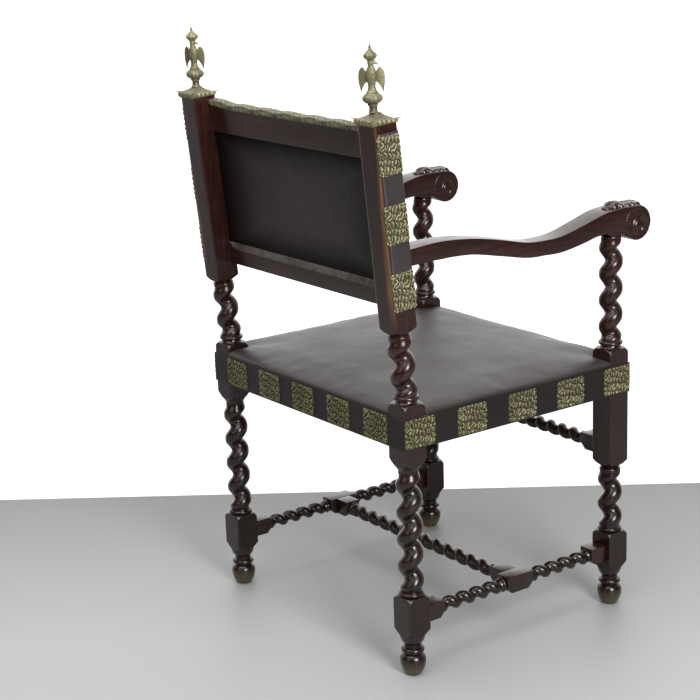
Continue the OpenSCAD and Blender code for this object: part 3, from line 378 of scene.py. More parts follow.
def plain_wood(name):
    """Unpolished frame wood that only shows from below."""
    material, tree, shader = surface(name)
    streaks = grain(tree, object_points(tree, (0.3, 0.3, 1)), 240, 6, 0.6, 0.4)
    fill(tree, shader, {
        "Base Color": ramp(tree, streaks, (0.3, (0.16, 0.085, 0.04)), (0.7, (0.30, 0.18, 0.095))),
        "Roughness": 0.75,
        "Normal": bump(tree, streaks, 0.3, 0.0006),
    })
    return material


# Leather
HIDE_DARK = (0.019, 0.0135, 0.0138)
HIDE_LIGHT = (0.033, 0.0252, 0.0255)
# Painted shade of the leather's sides that don't face up
SIDE_SHADE_HIDE = (0.009, 0.0062, 0.0062)
LINING_DARK = (0.018, 0.0125, 0.0142)
LINING_LIGHT = (0.033, 0.0245, 0.0275)
# Painted shade of the lining inside the back's frame
FRAME_SHADE_HIDE = (0.004, 0.0022, 0.0022)

# The lining's frame in metres: half its width, its middle height and half its height
PANEL = (OPEN_X * MM, (REAR_SQUARE_Z1 + PANEL_H * math.cos(LEAN)) * MM, PANEL_HALF * MM)


def worn_leather(name, dark, light, rough=(0.34, 0.5), pebble=0.5, frame_shade=None, shaded_sides=False):
    """Old dyed leather with a fine pebble, faint creases and rubbed patches.

    Given a frame, painted shade makes it darker and duller towards the frame's edges, where the recess is in
    shade.
    With shaded sides, what doesn't face up gets painted shade: darker and duller than the top.
    """
    material, tree, shader = surface(name)
    plain = object_points(tree)
    clouds = grain(tree, plain, 7, 5, 0.6)
    mottle = ramp(tree, grain(tree, plain, 55, 4), (0.4, 0.0), (0.8, 0.35))
    rubbed = ramp(tree, of_surface(tree, "Pointiness"), (0.52, 0.0), (0.62, 0.3))
    colour = ramp(tree, clouds, (0.3, dark), (0.72, light))
    colour = blend(tree, mottle, colour, dimmed(dark, 0.6))
    colour = blend(tree, rubbed, colour, (light[0] * 2.2, light[1] * 1.5, light[2] * 1.4))
    gloss = 0.6
    # Painted shade: darker and duller towards the frame's edges, where the recess lies in shade
    if frame_shade:
        half_x, middle_z, half_z = frame_shade
        axes = axes_of(tree, plain)
        share_x = math_node(tree, "DIVIDE", math_node(tree, "ABSOLUTE", axes["X"]), half_x)
        off_z = math_node(tree, "ABSOLUTE", math_node(tree, "SUBTRACT", axes["Z"], middle_z))
        edge = math_node(tree, "MAXIMUM", share_x, math_node(tree, "DIVIDE", off_z, half_z))
        edge = math_node(tree, "MULTIPLY_ADD", clouds, 0.24, edge)
        edge_shade = mapped(tree, edge, 0.62, 1.06, 0.0, 0.9)
        colour = blend(tree, edge_shade, colour, FRAME_SHADE_HIDE)
        gloss = math_node(tree, "MULTIPLY_ADD", edge_shade, -0.3, 0.34)
    # Painted shade: faces that don't face up are painted darker and duller than the lit top
    if shaded_sides:
        top = mapped(tree, facing_up(tree), 0.05, 0.7)
        colour = blend(tree, top, SIDE_SHADE_HIDE, colour)
        gloss = math_node(tree, "MULTIPLY_ADD", top, 0.28, 0.32)
    cells = cracks(tree, plain, 620, "F1")
    creases = cracks(tree, plain, 90, "DISTANCE_TO_EDGE")
    normal = bump(tree, clouds, 0.35, 0.006)
    normal = bump(tree, ramp(tree, creases, (0.0, 0.0), (0.06, 1.0)), 0.10, 0.0006, normal)
    fill(tree, shader, {
        "Base Color": colour,
        "Roughness": ramp(tree, clouds, (0.3, rough[0]), (0.75, rough[1])),
        "Normal": bump(tree, cells, pebble, 0.00035, normal),
        "Specular IOR Level": gloss,
    })
    return material


# Metal and cloth
def old_brass(name, bright, dull, deep, metal, edges=(0.44, 0.56)):
    """Patinated brass: rubbed on what stands out, brown-green in the hollows."""
    material, tree, shader = surface(name)
    plain = object_points(tree)
    spots = grain(tree, plain, 160, 5)
    clouds = grain(tree, plain, 30, 3)
    ridge = ramp(tree, of_surface(tree, "Pointiness"), (edges[0], 0.0), (edges[1], 1.0))
    colour = blend(tree, ramp(tree, clouds, (0.35, 0.0), (0.65, 1.0)), dull, bright)
    colour = blend(tree, ridge, deep, colour)
    fill(tree, shader, {
        "Base Color": blend(tree, ramp(tree, spots, (0.55, 0.0), (0.75, 0.7)), colour, deep),
        "Metallic": ramp(tree, ridge, (0.0, metal * 0.3), (1.0, metal)),
        "Roughness": ramp(tree, spots, (0.3, 0.34), (0.7, 0.6)),
        "Normal": bump(tree, spots, 0.25, 0.0005),
    })
    return material


def woven(name, colour, pitch):
    """Coarse plain weave of jute."""
    material, tree, shader = surface(name)
    where = add(tree, "ShaderNodeTexCoord").outputs["Object"]
    inputs = {"Vector": where, "Scale": pitch, "Distortion": 0.6}
    waves = [add(tree, "ShaderNodeTexWave", inputs, bands_direction=axis).outputs["Fac"] for axis in "XY"]
    threads = math_node(tree, "MULTIPLY", *waves)
    shade = blend(tree, grain(tree, where, 300, 4), dimmed(colour, 0.55), colour)
    fill(tree, shader, {
        "Base Color": blend(tree, threads, dimmed(colour, 0.35), shade),
        "Roughness": 0.9,
        "Normal": bump(tree, threads, 0.6, 0.0008),
    })
    return material


def plain_steel(name):
    material, tree, shader = surface(name)
    scratches = grain(tree, object_points(tree, (1, 1, 0.1)), 700, 3)
    fill(tree, shader, {
        "Base Color": ramp(tree, scratches, (0.3, 0.4), (0.7, 0.55)),
        "Roughness": ramp(tree, scratches, (0.3, 0.25), (0.7, 0.45)),
        "Metallic": 1,
    })
    return material


# Brass colours: bright, dull and deep
PLAQUE_COLOURS = ((0.29, 0.27, 0.145), (0.19, 0.178, 0.088), (0.032, 0.028, 0.011))
SEAT_COLOURS = ((0.225, 0.206, 0.098), (0.14, 0.129, 0.056), (0.02, 0.017, 0.006))
EDGE_COLOURS = ((0.30, 0.29, 0.175), (0.21, 0.20, 0.115), (0.05, 0.04, 0.022))
CAST_COLOURS = ((0.33, 0.315, 0.175), (0.18, 0.165, 0.088), (0.045, 0.034, 0.018))
FINE_EDGES = (0.475, 0.55)

WOOD_UP = polished_wood("polished_wood_upright", "Z", worn_places=True)
WOOD_ACROSS = polished_wood("polished_wood_across", "X")
WOOD_DEEP = polished_wood("polished_wood_lengthwise", "Y")
DUST_AND_SHEEN_WOOD = polished_wood("polished_wood_dusty", "X", dust_and_sheen=True)
FRAME_WOOD = plain_wood("frame_wood")
SEAT_HIDE = worn_leather("seat_leather", HIDE_DARK, HIDE_LIGHT, shaded_sides=True)
BACK_HIDE = worn_leather("back_leather", HIDE_DARK, HIDE_LIGHT)
LINING_HIDE = worn_leather("lining_leather", LINING_DARK, LINING_LIGHT, (0.4, 0.52), 0.25, PANEL)
PLAQUE_BRASS = old_brass("plaque_brass", *PLAQUE_COLOURS, 0.6, FINE_EDGES)
SEAT_BRASS = old_brass("seat_plaque_brass", *SEAT_COLOURS, 0.6, FINE_EDGES)
EDGE_BRASS = old_brass("edge_brass", *EDGE_COLOURS, 0.4)
CAST_BRASS = old_brass("cast_brass", *CAST_COLOURS, 0.5)
WEBBING_JUTE = woven("webbing_jute", (0.45, 0.35, 0.21), 90)
HESSIAN_JUTE = woven("hessian_jute", (0.36, 0.27, 0.16), 160)
PIN_STEEL = plain_steel("pin_steel")


# Meshes
HERE = Matrix.Identity(4)


def at(x, y, z):
    return Matrix.Translation((x, y, z))


def turn(degrees, axis):
    return Matrix.Rotation(math.radians(degrees), 4, axis)


def mesh_of(name, points, faces):
    mesh = bpy.data.meshes.new(name)
    mesh.from_pydata([tuple(p) for p in points], [], [tuple(f) for f in faces])
    mesh.update()
    return mesh


def skin(rings):
    """Closed skin of quads between rings of equal count, which run anticlockwise seen from the last one."""
    rings = np.asarray(rings, float)
    levels, count = rings.shape[:2]
    faces = [
        (k * count + j, k * count + (j + 1) % count, (k + 1) * count + (j + 1) % count, (k + 1) * count + j)
        for k in range(levels - 1)
        for j in range(count)
    ]
    faces.append(tuple(range(count - 1, -1, -1)))
    faces.append(tuple((levels - 1) * count + j for j in range(count)))
    return mesh_of("skin", rings.reshape(-1, 3), faces)


def grid_faces(rows, columns):
    """Quads of a grid of points in that many rows and columns."""
    corners = [i * columns + j for i in range(rows - 1) for j in range(columns - 1)]
    return [(a, a + 1, a + columns + 1, a + columns) for a in corners]


def turned_over(faces):
    return [(face[0], *face[:0:-1]) for face in faces]


def rim_of(rows, columns):
    """Numbers of a grid's outer points, in their order round it."""
    rim = list(range(columns)) + [i * columns + columns - 1 for i in range(1, rows)]
    rim += [(rows - 1) * columns + j for j in range(columns - 2, -1, -1)]
    return rim + [i * columns for i in range(rows - 2, 0, -1)]


def closed_grid(name, over, under, columns):
    """Solid between two grids of points that follow each other, with a wall round their rim."""
    count = len(over)
    rows = count // columns
    sheet = grid_faces(rows, columns)
    faces = turned_over(sheet) + [tuple(a + count for a in face) for face in sheet]
    rim = rim_of(rows, columns)
    faces += [(a, b, count + b, count + a) for a, b in zip(rim, rim[1:] + rim[:1])]
    return mesh_of(name, over + under, faces)


def recalculated(mesh):
    shape = bmesh.new()
    shape.from_mesh(mesh)
    bmesh.ops.recalc_face_normals(shape, faces=shape.faces)
    shape.to_mesh(mesh)
    shape.free()
    return mesh


def merged(name, parts):
    """One mesh of (mesh, place) parts."""
    whole = bmesh.new()
    for mesh, place in parts:
        copy = mesh.copy()
        copy.transform(place)
        whole.from_mesh(copy)
        bpy.data.meshes.remove(copy)
    mesh = bpy.data.meshes.new(name)
    whole.to_mesh(mesh)
    whole.free()
    return mesh


def piece(name, parts, material, nodes, sharp=38):
    """One object from (mesh, place) parts in millimetres, standing for solids of the frame."""
    mesh = merged(name, parts)
    mesh.transform(Matrix.Scale(MM, 4))
    mesh.polygons.foreach_set("use_smooth", [True] * len(mesh.polygons))
    mesh.set_sharp_from_angle(angle=math.radians(sharp))
    mesh.materials.clear()
    mesh.materials.append(material)
    made = bpy.data.objects.new(name, mesh)
    scene.collection.objects.link(made)
    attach(made, "root")
    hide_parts(*nodes)
    return made


def evaluated(made):
    """Plain mesh of an object with its modifiers applied."""
    done = made.evaluated_get(bpy.context.evaluated_depsgraph_get())
    return bpy.data.meshes.new_from_object(done)


def new_tree(name, inputs):
    """A geometry tree and what it is given: inputs are {name: (kind, first value)}."""
    tree = bpy.data.node_groups.new(name, "GeometryNodeTree")
    tree.interface.new_socket("Geometry", in_out="OUTPUT", socket_type="NodeSocketGeometry")
    for key, (kind, value) in inputs.items():
        socket = tree.interface.new_socket(key, in_out="INPUT", socket_type="NodeSocket" + kind)
        if value is not None:
            socket.default_value = value
    return tree, add(tree, "NodeGroupInput").outputs


def end_tree(tree, geometry, material):
    solid = add(tree, "GeometryNodeRealizeInstances", {"Geometry": geometry})
    finished = add(tree, "GeometryNodeSetMaterial", {"Geometry": solid.outputs[0], "Material": material})
    add(tree, "NodeGroupOutput", {0: finished.outputs[0]})
    return tree


def grown(tree, values):
    """The plain mesh that a geometry tree makes from these input values."""
    holder = bpy.data.objects.new(tree.name, bpy.data.meshes.new(tree.name))
    scene.collection.objects.link(holder)
    modifier = holder.modifiers.new("shape", "NODES")
    modifier.node_group = tree
    inputs = [i for i in tree.interface.items_tree if i.item_type == "SOCKET" and i.in_out == "INPUT"]
    for socket in inputs:
        modifier[socket.identifier] = values[socket.name]
    mesh = evaluated(holder)
    bpy.data.objects.remove(holder)
    return mesh


# Barley twist, as a geometry tree with its sizes as inputs
def barley_twist_tree():
    tree, given = new_tree("barley_twist", {
        "Radius": ("Float", TWIST_R),
        "Length": ("Float", 200),
        "Pitch": ("Float", TWIST_PITCH),
        "Groove": ("Float", TWIST_GROOVE),
        "Sharpness": ("Float", TWIST_SHARPNESS),
        "Phase": ("Float", 0),
        "Fade": ("Float", 16),
        "Neck": ("Float", TWIST_NECK),
        "Sides": ("Int", 72),
        "Rings": ("Int", 200),
        "Material": ("Material", None),
    })
    tube = add(tree, "GeometryNodeMeshCylinder", {
        "Vertices": given["Sides"], "Side Segments": given["Rings"], "Radius": given["Radius"],
        "Depth": given["Length"],
    }, fill_type="NGON")
    axes = axes_of(tree, add(tree, "GeometryNodeInputPosition").outputs[0])
    height = math_node(tree, "ADD", axes["Z"], math_node(tree, "MULTIPLY", given["Length"], 0.5))
    angle = math_node(tree, "ARCTAN2", axes["Y"], axes["X"])
    wound = math_node(tree, "DIVIDE", math_node(tree, "MULTIPLY", height, 2 * math.pi), given["Pitch"])
    turned_by = math_node(tree, "SUBTRACT", math_node(tree, "SUBTRACT", angle, given["Phase"]), wound)
    lobe = math_node(tree, "MULTIPLY_ADD", math_node(tree, "COSINE", turned_by), 0.5, 0.5)
    cut = math_node(tree, "POWER", lobe, given["Sharpness"])
    from_end = math_node(tree, "MINIMUM", height, math_node(tree, "SUBTRACT", given["Length"], height))
    fade = mapped(tree, from_end, 0.0, given["Fade"], curve="SMOOTHSTEP")
    depth = math_node(tree, "MULTIPLY", math_node(tree, "MULTIPLY", cut, given["Groove"]), fade)
    fuller = math_node(tree, "MULTIPLY", fade, math_node(tree, "SUBTRACT", 1.0, given["Neck"]))
    neck = math_node(tree, "ADD", given["Neck"], fuller)
    share = math_node(tree, "MULTIPLY", neck, math_node(tree, "SUBTRACT", 1.0, depth))
    radius = math_node(tree, "MULTIPLY", given["Radius"], share)
    place = add(tree, "ShaderNodeCombineXYZ", {
        "X": math_node(tree, "MULTIPLY", math_node(tree, "COSINE", angle), radius),
        "Y": math_node(tree, "MULTIPLY", math_node(tree, "SINE", angle), radius),
        "Z": height,
    }).outputs[0]
    shaped = add(tree, "GeometryNodeSetPosition", {"Geometry": tube.outputs["Mesh"], "Position": place})
    return end_tree(tree, shaped.outputs[0], given["Material"])


TWIST_TREE = barley_twist_tree()


def twist(radius, length, pitch, phase, neck=TWIST_NECK, sides=64, step=1.3, material=WOOD_UP):
    return grown(TWIST_TREE, {
        "Radius": radius, "Length": length, "Pitch": pitch, "Groove": TWIST_GROOVE,
        "Sharpness": TWIST_SHARPNESS, "Phase": math.radians(phase), "Fade": pitch * 0.35, "Neck": neck,
        "Sides": sides, "Rings": int(length / step), "Material": material,
    })


# Outlines
def rounded(corners, radius, steps=3):
    """Polygon with each corner replaced by a short curve."""
    points = []
    count = len(corners)
    for i, corner in enumerate(corners):
        here = Vector(corner)
        before = Vector(corners[i - 1]) - here
        after = Vector(corners[(i + 1) % count]) - here
        r = min(radius, before.length * 0.45, after.length * 0.45)
        start = here + before.normalized() * r
        end = here + after.normalized() * r
        for k in range(steps + 1):
            t = k / steps
            points.append(tuple(start * (1 - t) ** 2 + here * 2 * t * (1 - t) + end * t**2))
    return points


def spline(stations, steps):
    """Smooth curve through stations, by Catmull-Rom."""
    p = [Vector(s) for s in stations]
    curve = []
    for i in range(len(p) - 1):
        a, b, c, d = p[max(i - 1, 0)], p[i], p[i + 1], p[min(i + 2, len(p) - 1)]
        for k in range(steps):
            t = k / steps
            curve.append(0.5 * (
                2 * b + (c - a) * t + (2 * a - 5 * b + 4 * c - d) * t * t + (3 * b - a - 3 * c + d) * t**3
            ))
    return curve + [p[-1]]


def full_turn(count):
    """Angles of that many equal steps round a circle."""
    return [2 * math.pi * k / count for k in range(count)]


def ease(t):
    return t * t * (3 - 2 * t)


def clamped(value):
    return min(1, max(0, value))


# Turned and squared stock: rings round an axis whose radius is the smaller of the turning and the square
QUARTER = (0, 7, 14, 21, 27, 33, 38, 41.5, 43.6, 45, 46.4, 48.5, 52, 57, 63, 69, 76, 83)
ROUND = np.radians([q + 90 * k for k in range(4) for q in QUARTER])
CORNER_POWER = 40
UNCUT = 1e6


def squared(half_x, half_y):
    """Distance from the axis to a rectangle with softly rounded corners, at each angle."""
    x = np.abs(np.cos(ROUND)) / half_x
    y = np.abs(np.sin(ROUND)) / half_y
    return (x**CORNER_POWER + y**CORNER_POWER) ** (-1 / CORNER_POWER)


def stock(profile, half_x=UNCUT, half_y=UNCUT):
    """Closed skin of a turned profile of (height, radius) cut from a bar of that half width."""
    bar = squared(half_x, half_y)
    rings = []
    for z, r in profile:
        radius = np.minimum(r, bar)
        ring = [radius * np.cos(ROUND), radius * np.sin(ROUND), np.full(len(ROUND), z)]
        rings.append(np.stack(ring, axis=1))
    return skin(rings)


def ogee(z0, r0, z1, r1, steps=16):
    return [(z0 + (z1 - z0) * i / steps, r0 + (r1 - r0) * ease(i / steps)) for i in range(steps + 1)]


def shoulder(z0, r0, z1, r1):
    """Quarter-round fall from a large to a small radius."""
    steps = 14
    turns = [math.pi / 2 * i / steps for i in range(steps + 1)]
    return [(z0 + (z1 - z0) * math.sin(a), r1 + (r0 - r1) * math.cos(a)) for a in turns]


def bead(z0, z1, r):
    steps = 10
    middle, half = (z0 + z1) / 2, (z1 - z0) / 2
    turns = [math.pi * i / steps for i in range(steps + 1)]
    return [(middle - half * math.cos(a), r - half + half * math.sin(a)) for a in turns]


# Posts, whose radii are shares of half a post
NECK = HALF_POST * 0.655
WIDE = HALF_POST * 1.43
FOOT_STATIONS = [(0, 0.655), (0.14, 0.77), (0.29, 0.89), (0.5, 0.975), (0.61, 1.02), (0.79, 1.19), (1, 1.43)]
FOOT_RING = 9


def ball():
    """Ball foot that is widest above its middle, from its flat underside to the neck."""
    widest = BALL_H * 0.68
    low, high = math.acos(0.6), math.acos(NECK / HALF_POST)
    under = [
        (widest + widest * math.sin(a) / math.sin(low), HALF_POST * math.cos(a))
        for a in np.linspace(-low, 0, 14)
    ]
    over = [
        (widest + (BALL_H - widest) * math.sin(a) / math.sin(high), HALF_POST * math.cos(a))
        for a in np.linspace(0, high, 9)[1:]
    ]
    return under + over


def block_top(z1, cove=0.0):
    """Round shoulder that cuts the corners of a square block, with a hollow and a ring over it."""
    waist, lip = HALF_POST * 0.77, HALF_POST * 0.14
    cove_z = z1 + SHOULDER
    ring_z = cove_z + cove
    profile = shoulder(z1 - SHOULDER_DROP, WIDE, cove_z, HALF_POST * 0.91)
    if cove:
        profile += [(cove_z + cove * t, waist + lip * (1 - t) ** 2.2) for t in (0.1, 0.3, 0.6, 1)]
    profile += bead(ring_z, ring_z + COLLAR, HALF_POST * 0.975)
    return profile + [(ring_z + COLLAR + 1, HALF_POST * 0.8)]


def foot_and_block():
    ring_z = BALL_H + 1.5
    profile = ball() + [(ring_z, NECK)] + bead(ring_z, ring_z + FOOT_RING, HALF_POST * 0.9)
    profile += [(ring_z + FOOT_RING + 0.2, NECK)]
    flare_z = BLOCK_Z0 - FOOT_FLARE
    profile += [(flare_z + FOOT_FLARE * t, HALF_POST * share) for t, share in spline(FOOT_STATIONS, 5)]
    return stock(profile + block_top(BLOCK_Z1), HALF_POST, HALF_POST)


def rear_square():
    """Square block of a rear post, over its long ogee."""
    profile = ogee(REAR_SQUARE_Z0 - REAR_FLARE, HALF_POST * 0.73, REAR_SQUARE_Z0, WIDE, 24)
    return stock(profile + block_top(REAR_SQUARE_Z1, COVE), HALF_POST, HALF_POST)


def front_square():
    """Long square block of a front post, over its ring and short ogee."""
    flare_z = FRONT_SQUARE_Z0 - FRONT_FLARE
    profile = bead(flare_z - 3, flare_z + 3, HALF_POST * 0.86)
    profile += ogee(flare_z + 3, HALF_POST * 0.7, FRONT_SQUARE_Z0, WIDE, 20)
    return stock(profile + block_top(FRONT_SQUARE_Z1, COVE), HALF_POST, HALF_POST)


def stile_length():
    """Square stile of the back, over its bead and ogee."""
    profile = bead(*STILE_BEAD, HALF_POST * 0.84)
    profile += ogee(STILE_H0 - 15, HALF_POST * 0.72, STILE_H0, WIDE)
    profile += [(h, WIDE) for h in np.linspace(STILE_H0 + 4, STILE_H1, 24)]
    return stock(profile, STILE_W / 2, HALF_POST)


def leg_twist(top_z, neck=TWIST_NECK):
    """Twist of a leg, from the lower block up to the flare that starts at that height."""
    return twist(TWIST_R, top_z - TWIST_Z0 + 2 * OVERLAP, TWIST_PITCH, LEG_TURN, neck)


def rear_post(side, name):
    low_twist = leg_twist(REAR_SQUARE_Z0 - REAR_FLARE, 0.78)
    start = SHOULDER + COVE + COLLAR - OVERLAP
    high_twist = twist(TWIST_R, sum(STILE_BEAD) / 2 - start, TWIST_PITCH, STILE_TURN)
    axis = at(side * HALF_X, REAR_Y, 0)
    lean = at(side * HALF_X, 0, 0) @ RAKED
    parts = [
        (foot_and_block(), axis),
        (low_twist, axis @ at(0, 0, TWIST_Z0 - OVERLAP)),
        (rear_square(), axis),
        (high_twist, lean @ at(0, 0, start)),
        (stile_length(), lean),
    ]
    piece(name + "_wood", parts, WOOD_UP, [name])


def front_post(side, name):
    low_twist = leg_twist(FRONT_SQUARE_Z0 - FRONT_FLARE - 3)
    start = FRONT_SQUARE_Z1 + SHOULDER + COVE + COLLAR - OVERLAP
    bead_z = ARM_SEAT_Z - ARM_BEAD
    high_twist = twist(TWIST_R * 0.97, bead_z - start + BURIED, TWIST_PITCH, ARM_TURN)
    under_arm = [(bead_z - 1, HALF_POST * 0.6)] + bead(bead_z, ARM_SEAT_Z, HALF_POST * 0.8)
    axis = at(side * HALF_X, FRONT_Y, 0)
    parts = [
        (foot_and_block(), axis),
        (low_twist, axis @ at(0, 0, TWIST_Z0 - OVERLAP)),
        (front_square(), axis),
        (high_twist, axis @ at(0, 0, start)),
        (stock(under_arm), axis),
    ]
    piece(name + "_wood", parts, WOOD_UP, [name])


# Stretchers: square ends and blocks with softened edges, and slim twists between them
LYING = turn(90, "Z") @ turn(90, "X")


def square_bar(outline):
    """Bar of that outline, seen from its side and as wide as a stretcher. It lies along Z."""
    shape = bmesh.new()
    low = [shape.verts.new((x, y, -STRETCHER_SIDE / 2)) for x, y in outline]
    face = shape.faces.new(low)
    raised = bmesh.ops.extrude_face_region(shape, geom=[face])["geom"]
    top = [v for v in raised if isinstance(v, bmesh.types.BMVert)]
    bmesh.ops.translate(shape, verts=top, vec=(0, 0, STRETCHER_SIDE))
    bmesh.ops.recalc_face_normals(shape, faces=shape.faces)
    bmesh.ops.bevel(shape, geom=list(shape.edges), offset=SOFT_EDGE, segments=3, affect="EDGES", profile=0.5)
    mesh = bpy.data.meshes.new("bar")
    shape.to_mesh(mesh)
    shape.free()
    return mesh, LYING


def stretcher_end(z0, z1):
    """Square end of a stretcher, sloped away below where the twist starts."""
    half = STRETCHER_SIDE / 2
    slope = STRETCHER_SIDE * 0.3
    return square_bar([(-half, z1), (-half, z0 + slope), (-half + slope, z0), (half, z0), (half, z1)])


def middle_block():
    half = STRETCHER_SIDE / 2
    reach = MIDDLE_BLOCK / 2
    slope = STRETCHER_SIDE * 0.3
    return square_bar([
        (-reach, half), (-reach, -half + slope), (-reach + slope, -half),
        (reach - slope, -half), (reach, -half + slope), (reach, half),
    ])


def slim_twist(z0, z1, pitch, material):
    mesh = twist(STRETCHER_R, z1 - z0, pitch, STRETCHER_TURN, sides=40, step=0.95, material=material)
    return mesh, at(0, 0, z0)


def slim_bead(neck_z, z0, z1):
    """Bead of a stretcher, over a neck that starts at its own height."""
    return stock([(neck_z, STRETCHER_NECK)] + bead(z0, z1, STRETCHER_R)), HERE


def side_stretcher(side, name):
    block, lying = middle_block()
    block_end = MIDDLE_BLOCK / 2
    end0 = NOTCH_Y - STRETCHER_END
    half = [
        slim_bead(block_end - 1, block_end - 0.5, block_end + STRETCHER_BEAD),
        slim_twist(block_end + STRETCHER_BEAD - OVERLAP, end0 + 0.5, STRETCHER_PITCH, WOOD_DEEP),
        stretcher_end(end0, NOTCH_Y),
    ]
    middle = at(side * HALF_X, MID_Y, STRETCHER_Z)
    parts = [(block, middle @ lying)]
    for face in (turn(90, "X"), turn(180, "Z") @ turn(90, "X")):
        parts += [(mesh, middle @ face @ place) for mesh, place in half]
    piece(name + "_wood", parts, WOOD_DEEP, [name])


def long_stretcher(name, y, z, reach, end, pitch):
    """Stretcher along X with one twist between square ends of that length."""
    middle = at(0, y, z)
    end0 = reach - end
    twist_end = end0 - STRETCHER_BEAD + OVERLAP
    mesh, place = slim_twist(-twist_end, twist_end, pitch, WOOD_ACROSS)
    parts = [(mesh, middle @ turn(90, "Y") @ place)]
    half = [
        slim_bead(end0 - STRETCHER_BEAD - 1, end0 - STRETCHER_BEAD, end0 + 0.5),
        stretcher_end(end0, reach),
    ]
    for face in (turn(-90, "Z") @ turn(90, "X"), turn(90, "Z") @ turn(90, "X")):
        parts += [(mesh, middle @ face @ place) for mesh, place in half]
    piece(name + "_wood", parts, WOOD_ACROSS, [name])


for side, hand in ((1, "left"), (-1, "right")):
    rear_post(side, f"rear_post_{hand}")
    front_post(side, f"front_post_{hand}")
    side_stretcher(side, f"side_stretcher_{hand}")
cross_reach = HALF_X - STRETCHER_SIDE / 2
long_stretcher("cross_stretcher", MID_Y, STRETCHER_Z, cross_reach, STRETCHER_END * 0.9, CROSS_PITCH)
long_stretcher("front_stretcher", FRONT_Y, FRONT_STRETCHER_Z, NOTCH_X, STRETCHER_END, STRETCHER_PITCH)


# Back rails, drawn as sections along X in the leaning frame
RAIL_STATIONS = np.linspace(-OPEN_X, OPEN_X, 25)


def section_bar(sections):
    """Closed skin through sections: (x, list of (q, h))."""
    return skin([[(x, q, h) for q, h in outline] for x, outline in sections])


def bottom_rail():
    """Rail with a chamfer along its upper rear edge that runs out before the stiles."""
    h0, h1 = BOTTOM_RAIL
    stops = [OPEN_X - CHAMFER_STOP * t for t in (0.1, 0.25, 0.35, 0.45, 0.55, 0.65, 0.75, 0.9, 1.0)]
    sections = []
    for x in sorted({*RAIL_STATIONS, *stops, *(-stop for stop in stops)}):
        cut = ease(clamped((OPEN_X - abs(x) - CHAMFER_STOP * 0.25) / (CHAMFER_STOP * 0.6)))
        low_h = h1 - 1.2 - CHAMFER_H * cut
        deep_q = RAIL_Q - 0.3 - (RAIL_Q - LINING_Q - 0.3) * cut
        outline = [(RAIL_Q, h0), (RAIL_Q, low_h), (deep_q, h1), (FRAME_Q, h1), (FRAME_Q, h0)]
        sections.append((x, rounded(outline, 0.9)))
    return section_bar(sections)


def top_rail():
    h0, h1 = TOP_RAIL
    outline = rounded([(RAIL_Q, h0), (RAIL_Q, h1), (FRAME_Q, h1), (FRAME_Q, h0)], 1.2)
    return section_bar([(x, outline) for x in RAIL_STATIONS])


piece("back_bottom_rail_wood", [(bottom_rail(), RAKED)], DUST_AND_SHEEN_WOOD, ["back_bottom_rail"])
piece("back_top_rail_wood", [(top_rail(), RAKED)], WOOD_ACROSS, ["back_top_rail"])


# Arms, whose stations are shares of the way from the stile to the front post
ARM_REACH = FRONT_OF_STILE - FRONT_Y
ARM_END = 1.02
UPPER = [
    (0, -2), (0.14, 1.5), (0.28, -0.11 * ARM_DIP), (0.41, -0.46 * ARM_DIP), (0.54, -0.9 * ARM_DIP),
    (0.63, -ARM_DIP), (0.72, -0.92 * ARM_DIP), (0.82, -0.56 * ARM_DIP), (0.93, -0.12 * ARM_DIP),
    (ARM_END, 0),
]
THICKNESS = (
    (0, 0.14, 0.28, 0.41, 0.54, 0.63, 0.74, 0.82, 0.88, 0.94, ARM_END),
    (0.95, 1.02, 0.93, 0.97, 0.93, 0.9, 1, 1.1, 1.14, 1.3, 1.4),
)
AT_SCROLL = SCROLL_W / 2 - 0.4
WIDTHS = (
    (-0.1, 0.1, 0.4, 0.62, 0.92, ARM_END, 1.3),
    (ARM_W / 2, ARM_W / 2, ARM_W * 0.46, ARM_W * 0.46, AT_SCROLL - 0.6, AT_SCROLL, AT_SCROLL),
)


def arm_body():
    """Rounded-rectangle sections from the stile to the middle of the scroll."""
    sections = []
    for t, drop in spline(UPPER, 10):
        top = ARM_TOP + drop
        sections.append((t, top, top - ARM_UNDER * np.interp(t, *THICKNESS)))
    last = (FRONT_OF_STILE - SCROLL_Y) / ARM_REACH
    fall = ARM_SEAT_Z + 5.4 - SCROLL_Z + SCROLL_R
    for share in (0.25, 0.5, 0.75, 1.0):
        t = ARM_END + (last - ARM_END) * share
        sections.append((t, ARM_TOP - 0.4 * share, ARM_SEAT_Z + 6 - fall * share))
    rings = []
    for t, top, under in sections:
        y = FRONT_OF_STILE - t * ARM_REACH
        w = np.interp(t, *WIDTHS)
        across = rounded([(w, under), (w, top), (-w, top), (-w, under)], 1.6, 4)
        rings.append([(x, y, z) for x, z in across])
    return skin(rings)


def under_pad():
    """Flat pad under the arm that sits on the support's bead."""
    half_x, half_y = 20, (HALF_POST + 1) * 1.2
    steps = 14
    rings = []
    for i in range(steps + 1):
        t = -1 + 2 * i / steps
        low = ARM_SEAT_Z + 7 * max(0, abs(t) - 0.55) ** 1.5 / 0.3
        high = ARM_SEAT_Z + 14
        outline = rounded([(half_x, low), (half_x, high), (-half_x, high), (-half_x, low)], 2)
        rings.append([(x, FRONT_Y - t * half_y, z) for x, z in outline])
    return skin(rings)


# Scroll of an arm: the eye's place, the groove's pitch and width, and the carved share of the radius
EYE_Y = -2.0
EYE_Z = -6.2
GROOVE_PITCH = 7.5
GROOVE_W = 1.3
CARVED = 0.94


